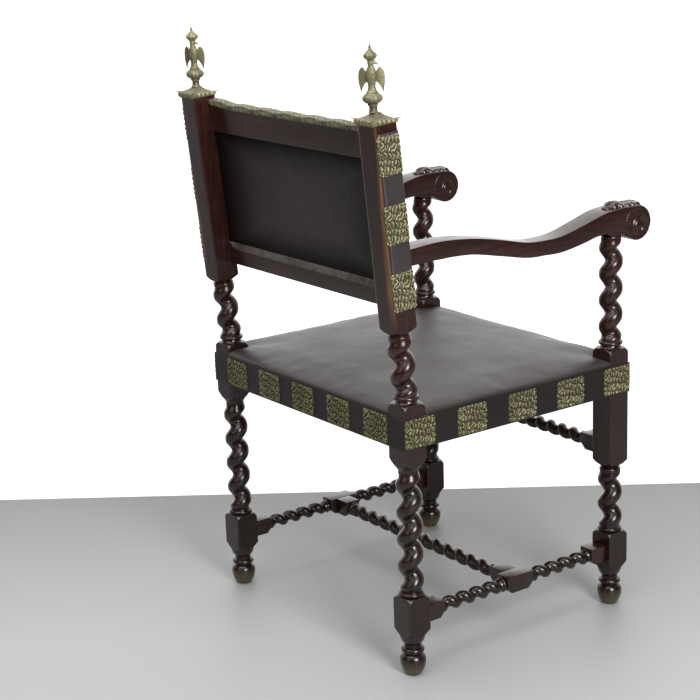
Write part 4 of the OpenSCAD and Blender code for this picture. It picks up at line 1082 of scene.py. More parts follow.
def eye_relief(y, z):
    """Height of the carving on a scroll's end: a groove that winds in to a raised eye."""
    dy, dz = y - EYE_Y, z - EYE_Z
    r = math.hypot(dy, dz)
    wind = (math.atan2(dz, dy) + math.pi * 0.5) / (2 * math.pi)
    groove = 0
    for k in range(-1, 3):
        track = 8.5 + GROOVE_PITCH * (wind + k)
        if 7 < track < 22:
            groove = max(groove, math.exp(-((r - track) / GROOVE_W) ** 2))
    raised = 1.5 * ease(clamped((17 - r) / 2.5))
    dome = 0.8 * max(0, 1 - (r / 7) ** 2)
    return raised + dome - 1.7 * groove


def scroll():
    """Drum of the scroll, with rounded edges and carved ends."""
    soft_edge = 2.6
    rings = []
    shares = np.concatenate([np.linspace(0.02, CARVED, 40), [0.96, 0.98, 0.992, 1.0]])
    for side, order in ((-1, shares), (1, shares[::-1])):
        for s in order:
            edge = max(0, (s - CARVED) / (1 - CARVED))
            face = SCROLL_W / 2 - soft_edge * (1 - math.sqrt(max(0, 1 - edge * edge)))
            ring = []
            for a in full_turn(96):
                y, z = SCROLL_R * s * math.cos(a), SCROLL_R * s * math.sin(a)
                ring.append((side * (face + (eye_relief(y, z) if s < CARVED else 0)), y, z))
            rings.append(ring)
    return skin(rings)


LEAF_HEIGHTS = (
    (62, 56, 48, 38, 28, 20, 14, 2, -12, -22, -29, -32),
    (0, 5, 9, 10.5, 9.5, 7, 6.5, 7.5, 7, 6.5, 4, 0),
)
LEAF_HALF_W = 17.5
LEAF_CURLS = 3.4


def leaf():
    """Carved leaf that lies over the scroll: curling lobes cut deep on both sides of a raised rib."""
    rows, columns = 95, 41
    top, low = [], []
    first, last = LEAF_HEIGHTS[0][0], LEAF_HEIGHTS[0][-1]
    for s in [i / (rows - 1) for i in range(rows)]:
        y = first + (last - first) * s
        over = SCROLL_Z + math.sqrt(SCROLL_R**2 - (min(0, y) * 0.93) ** 2)
        high = np.interp(-y, [-v for v in LEAF_HEIGHTS[0]], LEAF_HEIGHTS[1])
        lobes = 0.74 + 0.26 * abs(math.cos(6 * math.pi * s))
        wide = 0.4 + LEAF_HALF_W * math.sin(math.pi * min(1, s**0.8)) ** 0.5 * lobes
        for j in range(columns):
            u = -1 + 2 * j / (columns - 1)
            rib = 0.9 * math.exp(-((u / 0.12) ** 2))
            curl = math.cos(LEAF_CURLS * 2 * math.pi * (s + 0.09 * abs(u)))
            cut = 0.34 * high * (0.5 - 0.5 * curl) * min(1, 0.35 + abs(u) * 2)
            body = max(0, 1 - u**4) ** 0.5
            top.append((u * wide, y, over - 0.6 + body * max(0.3, high + rib - cut)))
            low.append((u * wide, y, over - 3))
    return closed_grid("leaf", top, low, columns)


for side, name in ((1, "arm_left"), (-1, "arm_right")):
    here = at(side * HALF_X, 0, 0)
    parts = [
        (arm_body(), here),
        (under_pad(), here),
        (scroll(), here @ at(0, SCROLL_Y, SCROLL_Z)),
        (leaf(), here @ at(0, SCROLL_Y, 0)),
    ]
    piece(name + "_wood", parts, WOOD_DEEP, [name])


# Leather seat: one sheet over the stuffing and down the rails, cut round the posts
SKIRT_SHARES = (0, 0.03, 0.1, 0.2, 0.35, 0.5, 0.66, 0.8, 0.91, 0.97, 1)
SKIRT_TOP = EDGE_Z - 0.01


def edge_lines(edge, notch, count):
    """Grid lines from one edge to the other, close together on the rounded edge."""
    turned_in = [1 - math.cos(math.pi / 2 * i / 8) for i in range(9)]
    outside = [edge - ROLL_W * t for t in turned_in]
    near = [notch, notch - 1.2, notch - 3.5, notch - 7.5]
    half = outside + near + list(np.linspace(notch - 7.5, 0, count + 1))[1:]
    return [-v for v in half] + half[-2::-1]


def to_seat_edges(x, y):
    """Distances to the seat's nearest edge and to the nearest post."""
    ax, ay = abs(x), abs(y)
    return min(SEAT_EDGE_X - ax, SEAT_EDGE_Y - ay), math.hypot(max(0, NOTCH_X - ax), max(0, NOTCH_Y - ay))


def waver(x, y, layer, fineness):
    """Slow random rise and fall over a surface, each layer with its own pattern."""
    return noise.noise(Vector((x, y, layer)) * fineness)


def seat_height(x, y):
    to_edge, to_post = to_seat_edges(x, y)
    d = min(to_edge, to_post + ROLL_W * 0.2, ROLL_W) / ROLL_W
    roll = math.sqrt(max(0, 1 - (1 - d) ** 2))
    u, v = abs(x) / SEAT_EDGE_X, abs(y) / SEAT_EDGE_Y
    wave = waver(x, y, 0, 0.011) * 1.6 + waver(x, y, 50, 0.035) * 0.5
    return EDGE_Z + ROLL_H * roll + CROWN_H * (1 - u * u) * (1 - v * v) + wave * min(1, d)


def seat_sheet():
    xs = edge_lines(SEAT_EDGE_X, NOTCH_X, 30)
    ys = edge_lines(SEAT_EDGE_Y, NOTCH_Y, 26)
    last_i, last_j = len(xs) - 1, len(ys) - 1
    points, faces, seen = [], [], {}

    def vertex(key, place):
        if key not in seen:
            seen[key] = len(points)
            points.append(place)
        return seen[key]

    def top(i, j):
        return vertex((i, j), (xs[i], ys[j], seat_height(xs[i], ys[j])))

    for i in range(last_i):
        for j in range(last_j):
            if abs(xs[i] + xs[i + 1]) / 2 < NOTCH_X or abs(ys[j] + ys[j + 1]) / 2 < NOTCH_Y:
                faces.append((top(i, j), top(i + 1, j), top(i + 1, j + 1), top(i, j + 1)))

    # Skirt: columns round the whole edge, from the seat's edge down to the rails' underside
    loop = [(i, 0) for i in range(last_i)] + [(last_i, j) for j in range(last_j)]
    loop += [(i, last_j) for i in range(last_i, 0, -1)] + [(0, j) for j in range(last_j, 0, -1)]
    rows = [SKIRT_TOP - (SKIRT_TOP - RAIL_BOTTOM) * share for share in SKIRT_SHARES]

    def skirt(column, row):
        i, j = loop[column % len(loop)]
        x, y = xs[i], ys[j]
        if row == 0 and (abs(x) <= NOTCH_X or abs(y) <= NOTCH_Y):
            return top(i, j)
        low = (EDGE_Z - rows[row]) / (EDGE_Z - RAIL_BOTTOM)
        out = 0.5 * waver(x, y, rows[row], 0.03) * math.sin(math.pi * low)
        out_x = math.copysign(out * (abs(abs(x) - SEAT_EDGE_X) < 1e-6), x)
        out_y = math.copysign(out * (abs(abs(y) - SEAT_EDGE_Y) < 1e-6), y)
        return vertex(("skirt", column % len(loop), row), (x + out_x, y + out_y, rows[row]))

    for column in range(len(loop)):
        for row in range(len(rows) - 1):
            a, b = skirt(column, row), skirt(column + 1, row)
            c, d = skirt(column + 1, row + 1), skirt(column, row + 1)
            faces.append((a, d, c, b))
    return mesh_of("seat_sheet", points, faces)


def add_thickness(made, thickness):
    wall = made.modifiers.new("wall", "SOLIDIFY")
    wall.thickness = thickness * MM
    wall.offset = -1
    wall.use_even_offset = True
    mesh = evaluated(made)
    made.modifiers.clear()
    made.data = mesh


CLOTH = {
    "quality": 6, "mass": 0.3, "tension_stiffness": 60, "compression_stiffness": 60, "shear_stiffness": 30,
    "bending_stiffness": 15, "shrink_min": -0.001, "vertex_group_mass": "held", "use_pressure": True,
    "uniform_pressure_force": 4,
}
CLOTH_FRAMES = 20


def puffed(made, is_free, reach):
    """Settles a leather as cloth under the push of its stuffing, held wherever it isn't free."""
    mesh = made.data
    before = np.array([tuple(v.co) for v in mesh.vertices])
    group = made.vertex_groups.new(name=CLOTH["vertex_group_mass"])
    group.add([i for i, co in enumerate(before) if not is_free(*(co / MM))], 1, "REPLACE")
    cloth = made.modifiers.new("cloth", "CLOTH")
    for key, value in CLOTH.items():
        setattr(cloth.settings, key, value)
    cloth.settings.effector_weights.gravity = 0
    cloth.collision_settings.use_collision = False
    cloth.point_cache.frame_start = 1
    cloth.point_cache.frame_end = CLOTH_FRAMES
    for step in range(1, CLOTH_FRAMES + 1):
        scene.frame_set(step)
    done = made.evaluated_get(bpy.context.evaluated_depsgraph_get())
    move = np.array([tuple(v.co) for v in done.data.vertices]) - before
    far = np.linalg.norm(move, axis=1, keepdims=True)
    settled = before + move * np.minimum(1, reach * MM / np.maximum(far, 1e-9))
    made.modifiers.clear()
    made.vertex_groups.clear()
    mesh.vertices.foreach_set("co", settled.ravel())
    mesh.update()
    scene.frame_set(1)


def seat_is_free(x, y, z):
    to_edge, to_post = to_seat_edges(x, y - MID_Y)
    return z > EDGE_Z + 1 and to_edge > 4 and to_post > 5


seat_nodes = ["seat_leather", "seat_stuffing"]
seat = piece("seat_cover", [(seat_sheet(), at(0, MID_Y, 0))], SEAT_HIDE, seat_nodes, 50)
puffed(seat, seat_is_free, 4)
add_thickness(seat, LEATHER)


# Leather of the back: over the front, round the stiles and over the top rail
def back_sheet():
    side_x = STILE_X + LEATHER
    front_q = FRAME_Q - LEATHER
    rear_q = HALF_POST - 5
    top_h = TOP_RAIL[1] + LEATHER
    corner = 3.0
    arm_gap = ARM_W / 2 - 1.2
    lean_h = (ARM_TOP - REAR_SQUARE_Z1) / math.cos(LEAN) - HALF_POST * math.tan(LEAN)
    arm_h = (lean_h - ARM_UNDER + 0.9, lean_h - 0.9)

    # Columns from the sitter's right wrap across the front to the left wrap
    half = [(-side_x, q) for q in np.linspace(rear_q, front_q + corner, 9)]
    for a in np.linspace(0, math.pi / 2, 6)[1:]:
        half.append((-side_x + corner * (1 - math.cos(a)), front_q + corner * (1 - math.sin(a))))
    half += [(-HALF_X + x, front_q) for x in (-arm_gap, -10, 0, 10, arm_gap)]
    half += [(-OPEN_X * t, front_q) for t in (0.995, 0.98, 0.95, 0.91, 0.86, *np.linspace(0.8, 0.0, 17))]
    columns = half + [(-x, q) for x, q in half[-2::-1]]
    heights = sorted({*np.linspace(BOTTOM_RAIL[0], top_h, 56), *arm_h})
    heights = [h for h in heights if h in arm_h or min(abs(h - a) for a in arm_h) > 1.5]
    first, last = heights[0], heights[-1]

    def swell(x, h):
        u, v = x / OPEN_X, (h - PANEL_H) / PANEL_HALF
        if abs(u) >= 1 or abs(v) >= 1:
            return 0
        return (10 + waver(x, h, 7, 0.014) * 1.2) * (1 - u * u) ** 0.6 * (1 - v * v) ** 0.6

    def level(x, h):
        """Height of a point, squeezed upwards on the stiles' sides, where the leather starts higher."""
        if abs(x) <= STILE_X - 1:
            return h
        return WRAP_H0 + (last - WRAP_H0) * (h - first) / (last - first)

    def behind_arm(face):
        x = sum(columns[a % count][0] for a in face) / 4
        h = sum(heights[a // count] for a in face) / 4
        return abs(abs(x) - HALF_X) < arm_gap - 0.2 and arm_h[0] < h < arm_h[1]

    count = len(columns)
    points = [(x, q - swell(x, h), level(x, h)) for h in heights for x, q in columns]
    faces = [face for face in grid_faces(len(heights), count) if not behind_arm(face)]

    # Over the top rail, between the stiles
    inside = [j for j, (x, q) in enumerate(columns) if abs(x) <= OPEN_X * 0.995 + 1e-6]
    edge = [(len(heights) - 1) * count + j for j in inside]
    for q in (front_q + 0.8, front_q + 4, -16, RAIL_Q):
        fresh = list(range(len(points), len(points) + len(inside)))
        points += [(columns[j][0], q, top_h + 0.3) for j in inside]
        faces += [(edge[k], edge[k + 1], fresh[k + 1], fresh[k]) for k in range(len(inside) - 1)]
        edge = fresh
    return mesh_of("back_sheet", points, faces)


def back_is_free(x, y, z):
    place = RAKED.inverted() @ Vector((x, y, z))
    u = abs(place.x) / OPEN_X
    v = abs(place.z - PANEL_H) / PANEL_HALF
    return max(u, v) < 0.96 and place.y < FRAME_Q + 20


back_nodes = ["back_leather", "back_padding"]
back = piece("back_cover", [(back_sheet(), RAKED)], BACK_HIDE, back_nodes, 50)
puffed(back, back_is_free, 3)
add_thickness(back, LEATHER)


def lining_sheet():
    """Leather lining behind the padding, drawn a little slack between the rails."""
    xs = np.linspace(-OPEN_X, OPEN_X, 61)
    hs = np.linspace(BOTTOM_RAIL[1] - 0.5, TOP_RAIL[0] + 0.5, 41)
    points = []
    for h in hs:
        v = 2 * (h - hs[0]) / (hs[-1] - hs[0]) - 1
        for x in xs:
            slack = (1 - (x / OPEN_X) ** 4) * (1 - v**4)
            dents = waver(x, h, 3, 0.012) * 1.3 + waver(x, h, 9, 0.04) * 0.35
            points.append((x, LINING_Q - slack * (1.3 + dents * 0.6), h))
    return mesh_of("lining_sheet", points, turned_over(grid_faces(len(hs), len(xs))))


lining = piece("back_lining_leather", [(lining_sheet(), RAKED)], LINING_HIDE, ["back_lining"], 50)
add_thickness(lining, 1.2)


# Brass plaques: slanting leaf curls in high relief, with an edge of lobes and a nail in each corner
NAIL_R = 2.6
NAIL_H = 2.8
NAIL_INSET = 6


def boss(centre, radius, height):
    """Half-round boss standing on the plate."""
    rings, sides = 5, 12
    levels = []
    for i in range(rings + 1):
        a = math.pi / 2 * i / rings * 0.97
        wide, high = radius * math.cos(a), centre[2] + height * math.sin(a)
        levels.append([
            (centre[0] + wide * math.cos(b), centre[1] + wide * math.sin(b), high) for b in full_turn(sides)
        ])
    return skin(levels)


def leaf_curls(x, y, upright):
    """Height share of the relief: rows of slanting leaves that curl about their middles."""
    if upright:
        x, y = y, -x
    bend = 1.5 * math.sin(2 * math.pi * y / 19 + 0.9) + 3.6 * waver(x, y, 5, 0.1)
    across = (x - 0.33 * y + bend) / 6.7
    row = round(across)
    along = (y + 4 * waver(x, y, 8, 0.07)) / 11.5 + 0.5 * (row % 2) + 0.26 * math.sin(4.1 * row)
    ridge = abs(math.cos(math.pi * across)) ** 1.15
    end = abs(math.cos(math.pi * along)) ** 0.6
    fine = 1 + 0.5 * waver(x, y, 1, 0.34)
    return clamped(1.35 * ridge * end * fine - 0.16)


def plaque(length, height, upright=False):
    """One plaque lying in XY with its back at zero."""
    columns, rows = 79, 61
    half_x, half_y = length / 2, height / 2
    top = []
    for v in [-1 + 2 * j / (rows - 1) for j in range(rows)]:
        for u in [-1 + 2 * i / (columns - 1) for i in range(columns)]:
            notch_x = 2.4 * (1 - abs(math.cos(math.pi * 2.5 * v)) ** 0.6) * abs(u) ** 8
            notch_y = 2.4 * (1 - abs(math.cos(math.pi * 3.5 * u)) ** 0.6) * abs(v) ** 8
            x, y = u * half_x - math.copysign(notch_x, u), v * half_y - math.copysign(notch_y, v)
            rim = min(1, (half_x - abs(u) * half_x) / 1.6, (half_y - abs(v) * half_y) / 1.6)
            top.append((x, y, 0.45 + RELIEF * leaf_curls(x, y, upright) * (0.25 + 0.75 * rim)))

    # The edge falls to the flat back, which is closed by a strip between the two ends of each row
    edge = rim_of(rows, columns)
    foot = {a: len(top) + k for k, a in enumerate(edge)}
    faces = grid_faces(rows, columns)
    faces += [(b, a, foot[a], foot[b]) for a, b in zip(edge, edge[1:] + edge[:1])]
    lines = [[j * columns, (j + 1) * columns - 1] for j in range(rows)]
    lines[0] = list(range(columns))
    lines[-1] = list(range((rows - 1) * columns, rows * columns))
    for low, high in zip(lines, lines[1:]):
        faces.append([foot[a] for a in low[::-1] + high][::-1])
    sheet = mesh_of("plaque", top + [(top[a][0], top[a][1], 0) for a in edge], faces)
    x, y = half_x - NAIL_INSET, half_y - NAIL_INSET
    nails = [boss((side * x, end * y, 0.6), NAIL_R, NAIL_H) for side in (-1, 1) for end in (-1, 1)]
    return merged("plaque", [(part, HERE) for part in [sheet] + nails])


def row_tree():
    """Copies of a piece in a straight row, as a geometry tree."""
    tree, given = new_tree("plaque_row", {
        "Plaque": ("Object", None),
        "Count": ("Int", 5),
        "First": ("Float", 0),
        "Step": ("Float", 0),
        "Material": ("Material", None),
    })
    start = add(tree, "ShaderNodeCombineXYZ", {"X": given["First"]}).outputs[0]
    offset = add(tree, "ShaderNodeCombineXYZ", {"X": given["Step"]}).outputs[0]
    sizes = {"Count": given["Count"], "Start Location": start, "Offset": offset}
    line = add(tree, "GeometryNodeMeshLine", sizes)
    shape = add(tree, "GeometryNodeObjectInfo", {"Object": given["Plaque"]}).outputs["Geometry"]
    copies = add(tree, "GeometryNodeInstanceOnPoints", {"Points": line.outputs[0], "Instance": shape})
    return end_tree(tree, copies.outputs[0], given["Material"])


ROW_TREE = row_tree()


def plaque_row(mesh, count, spread, brass):
    """Mesh of a row along X whose first and last centres lie spread apart."""
    pattern = bpy.data.objects.new("pattern", mesh)
    scene.collection.objects.link(pattern)
    row = grown(ROW_TREE, {
        "Plaque": pattern, "Count": count, "First": -spread / 2, "Step": spread / (count - 1),
        "Material": brass,
    })
    bpy.data.objects.remove(pattern)
    return row


SEAT_PLAQUE = plaque(PLAQUE_L, PLAQUE_H)
STILE_PLAQUE = plaque(PLAQUE_L, HALF_POST * 2 + 1, upright=True)
end_row = plaque_row(SEAT_PLAQUE, 5, 2 * NOTCH_X - PLAQUE_L, SEAT_BRASS)
side_row = plaque_row(SEAT_PLAQUE, 5, 2 * SEAT_EDGE_Y - PLAQUE_L, SEAT_BRASS)
UPRIGHT = turn(90, "X")
middle = at(0, MID_Y, (RAIL_BOTTOM + EDGE_Z) / 2)
for name, row, facing, reach in (
    ("plaques_seat_rear", end_row, 180, SEAT_EDGE_Y),
    ("plaques_seat_front", end_row, 0, SEAT_EDGE_Y),
    ("plaques_seat_left", side_row, 90, SEAT_EDGE_X),
    ("plaques_seat_right", side_row, -90, SEAT_EDGE_X),
):
    place = middle @ turn(facing, "Z") @ at(0, -reach, 0) @ UPRIGHT
    piece(name + "_brass", [(row, place)], SEAT_BRASS, [name])

stile_low = WRAP_H0 + PLAQUE_L / 2 + 1
stile_high = TOP_RAIL[1] - PLAQUE_L / 2 - 2
stile_row = plaque_row(STILE_PLAQUE, 3, stile_high - stile_low, PLAQUE_BRASS)
for side, name in ((1, "plaques_stile_left"), (-1, "plaques_stile_right")):
    outward = turn(90 * side, "Z") @ UPRIGHT @ turn(90, "Z")
    place = RAKED @ at(side * (STILE_X + LEATHER), -1, (stile_low + stile_high) / 2) @ outward
    piece(name + "_brass", [(stile_row, place)], PLAQUE_BRASS, [name])

# Row over the back's upper edge: each plaque is folded, and the row lifts towards the sitter's left
TOP_COUNT = 7
TOP_STRETCH = 1.12
TOP_WAVE = 67.2
TOP_LIP = 8.0
LIFT = 5
LIFT_FROM = 150
LIFT_OVER = 86


def bent_plaque():
    """Plaque folded over the back's upper edge, from a lip behind to the leaf in front."""
    bent = plaque(PLAQUE_L, PLAQUE_H)
    depth = RAIL_Q - FRAME_Q + LEATHER
    corner = 3.0
    for vertex in bent.vertices:
        x, y, z = vertex.co
        x *= TOP_STRETCH
        s = y + PLAQUE_H / 2
        phase = 2 * math.pi * x / TOP_WAVE
        hump = 0.7 + 1.0 * (1 + math.cos(phase - 0.5 * math.sin(phase)))
        if s < TOP_LIP:
            vertex.co = (x, depth / 2 + z * 0.7, -(TOP_LIP - s) + hump * (s / TOP_LIP) ** 2)
        elif s < TOP_LIP + depth:
            t = s - TOP_LIP
            ease_in = min(1, t / corner, (depth - t) / corner)
            vertex.co = (x, depth / 2 - t, z * (0.2 + 0.3 * ease_in) + hump)
        else:
            down = s - TOP_LIP - depth
            vertex.co = (x, -depth / 2 - z, -down + hump * max(0, 1 - down / 6))
    return bent


top_row = plaque_row(bent_plaque(), TOP_COUNT, 2 * OPEN_X - PLAQUE_L, EDGE_BRASS)
for vertex in top_row.vertices:
    vertex.co.z += LIFT * (max(0, vertex.co.x - LIFT_FROM) / LIFT_OVER) ** 2
place = RAKED @ at(0, (RAIL_Q + FRAME_Q - LEATHER) / 2, TOP_RAIL[1] + LEATHER)
piece("plaques_back_top_brass", [(top_row, place)], EDGE_BRASS, ["plaques_back_top"])


# Cap plates: a lobed square edge, corner spikes and a low hollow roof, upright on the leaning stiles
CAP_LOBES = 5
CAP_EDGE = (
    (0, 4, 0.4), (0.2, 3, 1.2), (1.2, 1.2, 2.0), (3, 0, 2.6), (6, 0, 2.6), (7.4, 0.8, 2.3), (8.3, 2.0, 1.6),
    (8.6, 3.5, 0.8),
)


def cap_outline(scale, lobe, z):
    """Square ring with a lobed edge. Near the plate's underside it follows the slope of the stile's top."""
    ring = []
    steps = 60
    for side in range(4):
        cos, sin = math.cos(math.pi / 2 * side), math.sin(math.pi / 2 * side)
        for t in [-1 + 2 * i / steps for i in range(steps)]:
            swell = lobe * abs(math.sin(math.pi * CAP_LOBES * (t + 1) / 2)) ** 0.7
            corner = abs(t) ** 14 * lobe * 1.2
            x, y = scale + swell + corner - lobe, t * (scale - lobe + corner)
            across, back = x * cos - y * sin, x * sin + y * cos
            seat = -(back + CAP_SHIFT) * math.tan(LEAN)
            ring.append((across, back, z + max(0, 1 - z / 4) * seat))
    return ring


def spike():
    """Corner spike along X that narrows and rises to its tip."""
    tip = CAP_TIP * math.sqrt(2)
    rings = []
    for t in np.linspace(0, 1, 8):
        along, wide, high = CAP_SIDE / 2 * (1 - t) + tip * t, 4.4 * (1 - t) + 0.5, 1.9 * (1 - t) + 0.5
        rings.append([(along, wide * math.cos(b), 6.8 + 3 * t + high * math.sin(b)) for b in full_turn(10)])
    return skin(rings)


def cap_plate():
    half = CAP_SIDE / 2
    rings = [cap_outline(half - inset, lobe, z) for z, inset, lobe in CAP_EDGE]
    for t in [i / 14 for i in range(1, 15)]:
        roof = 6 + (half - 9.5) * (1 - t) ** 1.7
        rings.append(cap_outline(roof, 0.5 * (1 - t), 8.7 + (CAP_ROOF_H - 0.2) * t))
    return [(skin(rings), HERE)] + [(spike(), turn(45 + 90 * side, "Z")) for side in range(4)]


# Finials: stem and pot, and a crowned bird whose wings droop at its sides
def lathe(profile, sides, flutes, depth):
    """Closed skin of revolution from (height, radius, share of the flutes' depth)."""
    rings = []
    for z, r, cut in profile:
        ring = []
        for a in full_turn(sides):
            radius = r * (1 - depth * cut * (0.5 + 0.5 * math.cos(flutes * a)))
            ring.append((radius * math.cos(a), radius * math.sin(a), z))
        rings.append(ring)
    return skin(rings)


def stem_and_pot():
    stem = [(-0.5, 7.6), (0.4, 7.6), (1.6, 6.6), (3, 6.1)]
    stem += [(STEM_H + z, r) for z, r in (
        (-3.4, 6.0), (-2.8, 7.0), (-1.8, 8.2), (-0.8, 8.4), (0, 7.8), (0.6, 7.9),
    )]
    belly = [
        (0.8, 8.4), (2.4, 11.6), (5.2, 14.8), (8.2, 15.9),
        (11, 15.4), (13.4, 13.6), (15.5, 10.6), (17.2, 8.6),
    ]
    profile = [(z, r, 0) for z, r in stem]
    profile += [(STEM_H + z, r, math.sin(math.pi * clamped((z - 0.8) / 16))) for z, r in spline(belly, 4)]
    profile += [(STEM_H + POT_H, 8.2, 0), (STEM_H + POT_H + 1, 6.6, 0)]
    return lathe(profile, 96, 12, 0.04)


FEATHER_ROW = 3.2
WING_FEATHERS = 6
WING_OUTER = [(4, 27), (8.5, 32.5), (13, 38.2), (18.2, 34), (20.4, 24), (20, 14), (18.4, 6), (17.4, -0.3)]
WING_INNER = [(4, 22), (5, 19.5), (6, 17), (7.6, 15), (9.8, 13.5), (12, 10.5), (14.6, 6), (17, -0.3)]


def bird_body():
    """Body from the tail up to the neck, flatter front to back, with rows of feathers."""
    stations = [
        (0, 9.6, 9.2), (1.5, 8.0, 7.4), (4, 6.6, 6.0), (8, 5.7, 5.2), (12, 5.9, 5.2),
        (17, 7.0, 6.0), (23, 8.1, 6.8), (29, 8.2, 6.8), (34, 6.8, 6.0), (38, 5.0, 5.0),
        (41, 4.4, 4.6), (44, 4.9, 5.0), (47, 4.7, 4.7), (50, 3.4, 3.4),
    ]
    rings = []
    for z, wide, deep in spline(stations, 5):
        level = z / FEATHER_ROW
        shift = math.pi if int(level) % 2 else 0
        ring = []
        for a in full_turn(36):
            rows = math.cos(9 * a + shift) * math.sin(math.pi * (level % 1))
            feather = 1 + (0.06 * rows if z > 5 else 0)
            ring.append((wide * feather * math.cos(a), deep * feather * math.sin(a), z))
        rings.append(ring)
    return skin(rings)


def beak():
    rings = []
    for t in [i / 8 for i in range(9)]:
        r = 3.3 * (1 - t) ** 0.7 + 0.3
        z = 44.5 + 1.2 * math.sin(math.pi * t) - 4.5 * t * t
        rings.append([(-3 - 9.5 * t, r * math.cos(b), z - r * math.sin(b)) for b in full_turn(12)])
    return recalculated(skin(rings))


def wing(side):
    """Drooping wing in XZ, ribbed by its long feathers, on one side of the bird."""
    outer, inner = spline(WING_OUTER, 6), spline(WING_INNER, 6)
    rows, columns = len(outer), 19
    front, rear = [], []
    for i in range(rows):
        for t in [j / (columns - 1) for j in range(columns)]:
            x, z = outer[i].lerp(inner[i], t)
            rib = 0.45 * abs(math.sin(math.pi * WING_FEATHERS * t)) * min(1, i / 8)
            thick = 0.5 + 1.5 * math.sin(math.pi * min(1, 0.08 + t * 0.9)) * (1 - 0.65 * i / rows)
            sweep = -3.0 * (x / 19.0) ** 2
            front.append((x, sweep - thick - rib, z))
            rear.append((x, sweep + thick * 0.6 + rib * 0.5, z))
    mesh = closed_grid("wing", rear, front, columns)
    mesh.transform(Matrix.Scale(side, 4, (1, 0, 0)))
    return recalculated(mesh)


def crown():
    """Eight-sided crown that is widest low down, with a tent-shaped peak and a spike."""
    top = FINIAL_H - STEM_H - POT_H
    tent = [
        (50, 7.2), (52, 9.6), (54, 10.6), (56, 10.8), (58, 9.6),
        (60, 7.2), (62.5, 4.6), (65, 2.6), (67, 1.5),
    ]
    knob = [(67.8, 2.2), (68.8, 2.5), (69.8, 1.7), (70.8, 0.9), (73, 0.7), (top, 0.35)]
    profile = [(46.5, 4.8, 0), (48, 5.2, 0), (49, 6.0, 0.2)]
    profile += [(z, r, 1 if z < 60 else 0.4) for z, r in spline(tent, 4)]
    profile += [(z, r, 0) for z, r in knob]
    return lathe(profile, 64, 8, 0.1)


for side, hand, facing, aside in ((1, "left", 26, 0), (-1, "right", 46, 2)):
    stand = at(side * HALF_X, STILE_TOP_Y, STILE_TOP_Z)
    parts = [(mesh, stand @ place) for mesh, place in cap_plate()]
    piece(f"cap_plate_{hand}_brass", parts, CAST_BRASS, [f"cap_plate_{hand}"])
    over = stand @ at(aside, 1 + aside, CAP_T + CAP_ROOF_H) @ turn(-2, "X")
    perch = over @ at(0, 0, STEM_H + POT_H) @ turn(facing, "Z")
    bird = [bird_body(), beak(), wing(1), wing(-1), crown()]
    parts = [(stem_and_pot(), over)] + [(mesh, perch) for mesh in bird]
    piece(f"finial_{hand}_brass", parts, CAST_BRASS, [f"finial_{hand}"])


# Finishes of the solids that keep their own shape, by how their names start
KEPT_FINISHES = {
    "seat_rail": FRAME_WOOD,
    "corner_block": FRAME_WOOD,
    "webbing": WEBBING_JUTE,
    "seat_hessian": HESSIAN_JUTE,
    "finial_pin": PIN_STEEL,
}
for name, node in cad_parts.items():
    for start, material in KEPT_FINISHES.items():
        if name.startswith(start):
            node.data.materials.clear()
            node.data.materials.append(material)


# Stage and light: ahead is the way the photograph looks over the floor, and distances are in metres
AHEAD = Vector((0.792, -0.610))
ASIDE = Vector((0.610, 0.792))
FLOOR_END = 0.555
FLOOR_START = -13
FLOOR_HALF_W = 9
FLOOR_SHADED_END = (0.208, 0.208, 0.201)
FLOOR_MIDDLE = (0.325, 0.331, 0.33)
FLOOR_FAR = (0.1, 0.1, 0.1)
SEAT_MIDDLE = (0, 0, 0.5)


def along_ahead(tree, axes):
    """How far a point or a direction lies ahead."""
    parts = [math_node(tree, "MULTIPLY", axes[axis], getattr(AHEAD, axis.lower())) for axis in "XY"]
    return math_node(tree, "ADD", *parts)


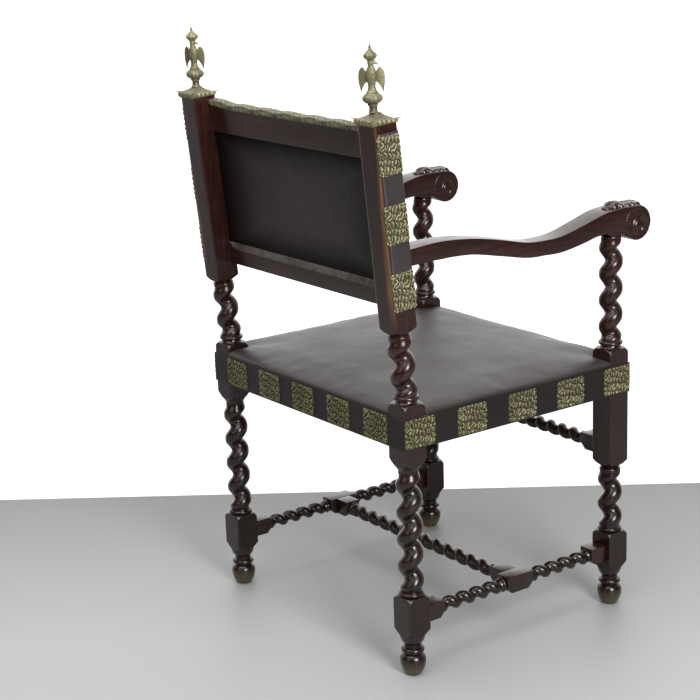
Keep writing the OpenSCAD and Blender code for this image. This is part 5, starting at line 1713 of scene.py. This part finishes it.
def make_floor():
    """Pale floor that ends a short way ahead of the chair, with painted shade that darkens it towards that
    end.
    """
    material, tree, shader = surface("floor")
    ahead = along_ahead(tree, axes_of(tree, object_points(tree)))
    # Painted shade: darker towards the floor's end beyond the chair; far behind, out of view, it darkens
    # again, which dims its reflection in the chair
    away = math_node(tree, "MULTIPLY_ADD", ahead, -0.25, 0.15, clamp=True)
    stops = ((0.01, FLOOR_SHADED_END), (0.2, FLOOR_MIDDLE), (0.38, FLOOR_MIDDLE), (0.75, FLOOR_FAR))
    fill(tree, shader, {"Base Color": ramp(tree, away, *stops), "Roughness": 0.5})
    corners = ((FLOOR_END, -1), (FLOOR_START, -1), (FLOOR_START, 1), (FLOOR_END, 1))
    places = [AHEAD * far + ASIDE * side * FLOOR_HALF_W for far, side in corners]
    mesh = mesh_of("floor", [(p.x, p.y, 0) for p in places], [(0, 3, 2, 1)])
    mesh.materials.append(material)
    floor = bpy.data.objects.new("floor", mesh)
    scene.collection.objects.link(floor)


def soft_light(name, place, target, size, power, colour=(1, 1, 1)):
    data = bpy.data.lights.new(name, "AREA")
    data.shape = "RECTANGLE"
    data.size, data.size_y = size
    data.energy = power
    data.color = colour
    lamp = bpy.data.objects.new(name, data)
    lamp.location = place
    aim = Vector(target) - Vector(place)
    lamp.rotation_euler = aim.to_track_quat("-Z", "Y").to_euler()
    scene.collection.objects.link(lamp)


def light_scene():
    """A room that is bright ahead and darker on its other side, with three soft lights."""
    world = bpy.data.worlds.new("studio")
    scene.world = world
    world.use_nodes = True
    tree = world.node_tree
    tree.nodes.clear()
    axes = axes_of(tree, add(tree, "ShaderNodeTexCoord").outputs["Generated"])
    raised = math_node(tree, "MULTIPLY", axes["Z"], 0.35)
    toward = math_node(tree, "ADD", along_ahead(tree, axes), raised)
    bright = mapped(tree, toward, 0.16, 0.9, 0.05, 1.4)
    shade = add(tree, "ShaderNodeBackground", {"Color": (1, 1, 1), "Strength": bright})
    add(tree, "ShaderNodeOutputWorld", {"Surface": shade.outputs[0]})
    soft_light("window", (-3.4, 0.7, 2.0), SEAT_MIDDLE, (1.2, 1.85), 170)
    soft_light("rear_fill", (-0.6, 3.9, 2.3), SEAT_MIDDLE, (2.4, 2.0), 22, (1, 0.95, 0.92))
    soft_light("overhead", (-0.2, 0.9, 3.0), (0, 0, 0.4), (2.4, 2.4), 75)


make_floor()
light_scene()
scene.view_settings.view_transform = "Standard"
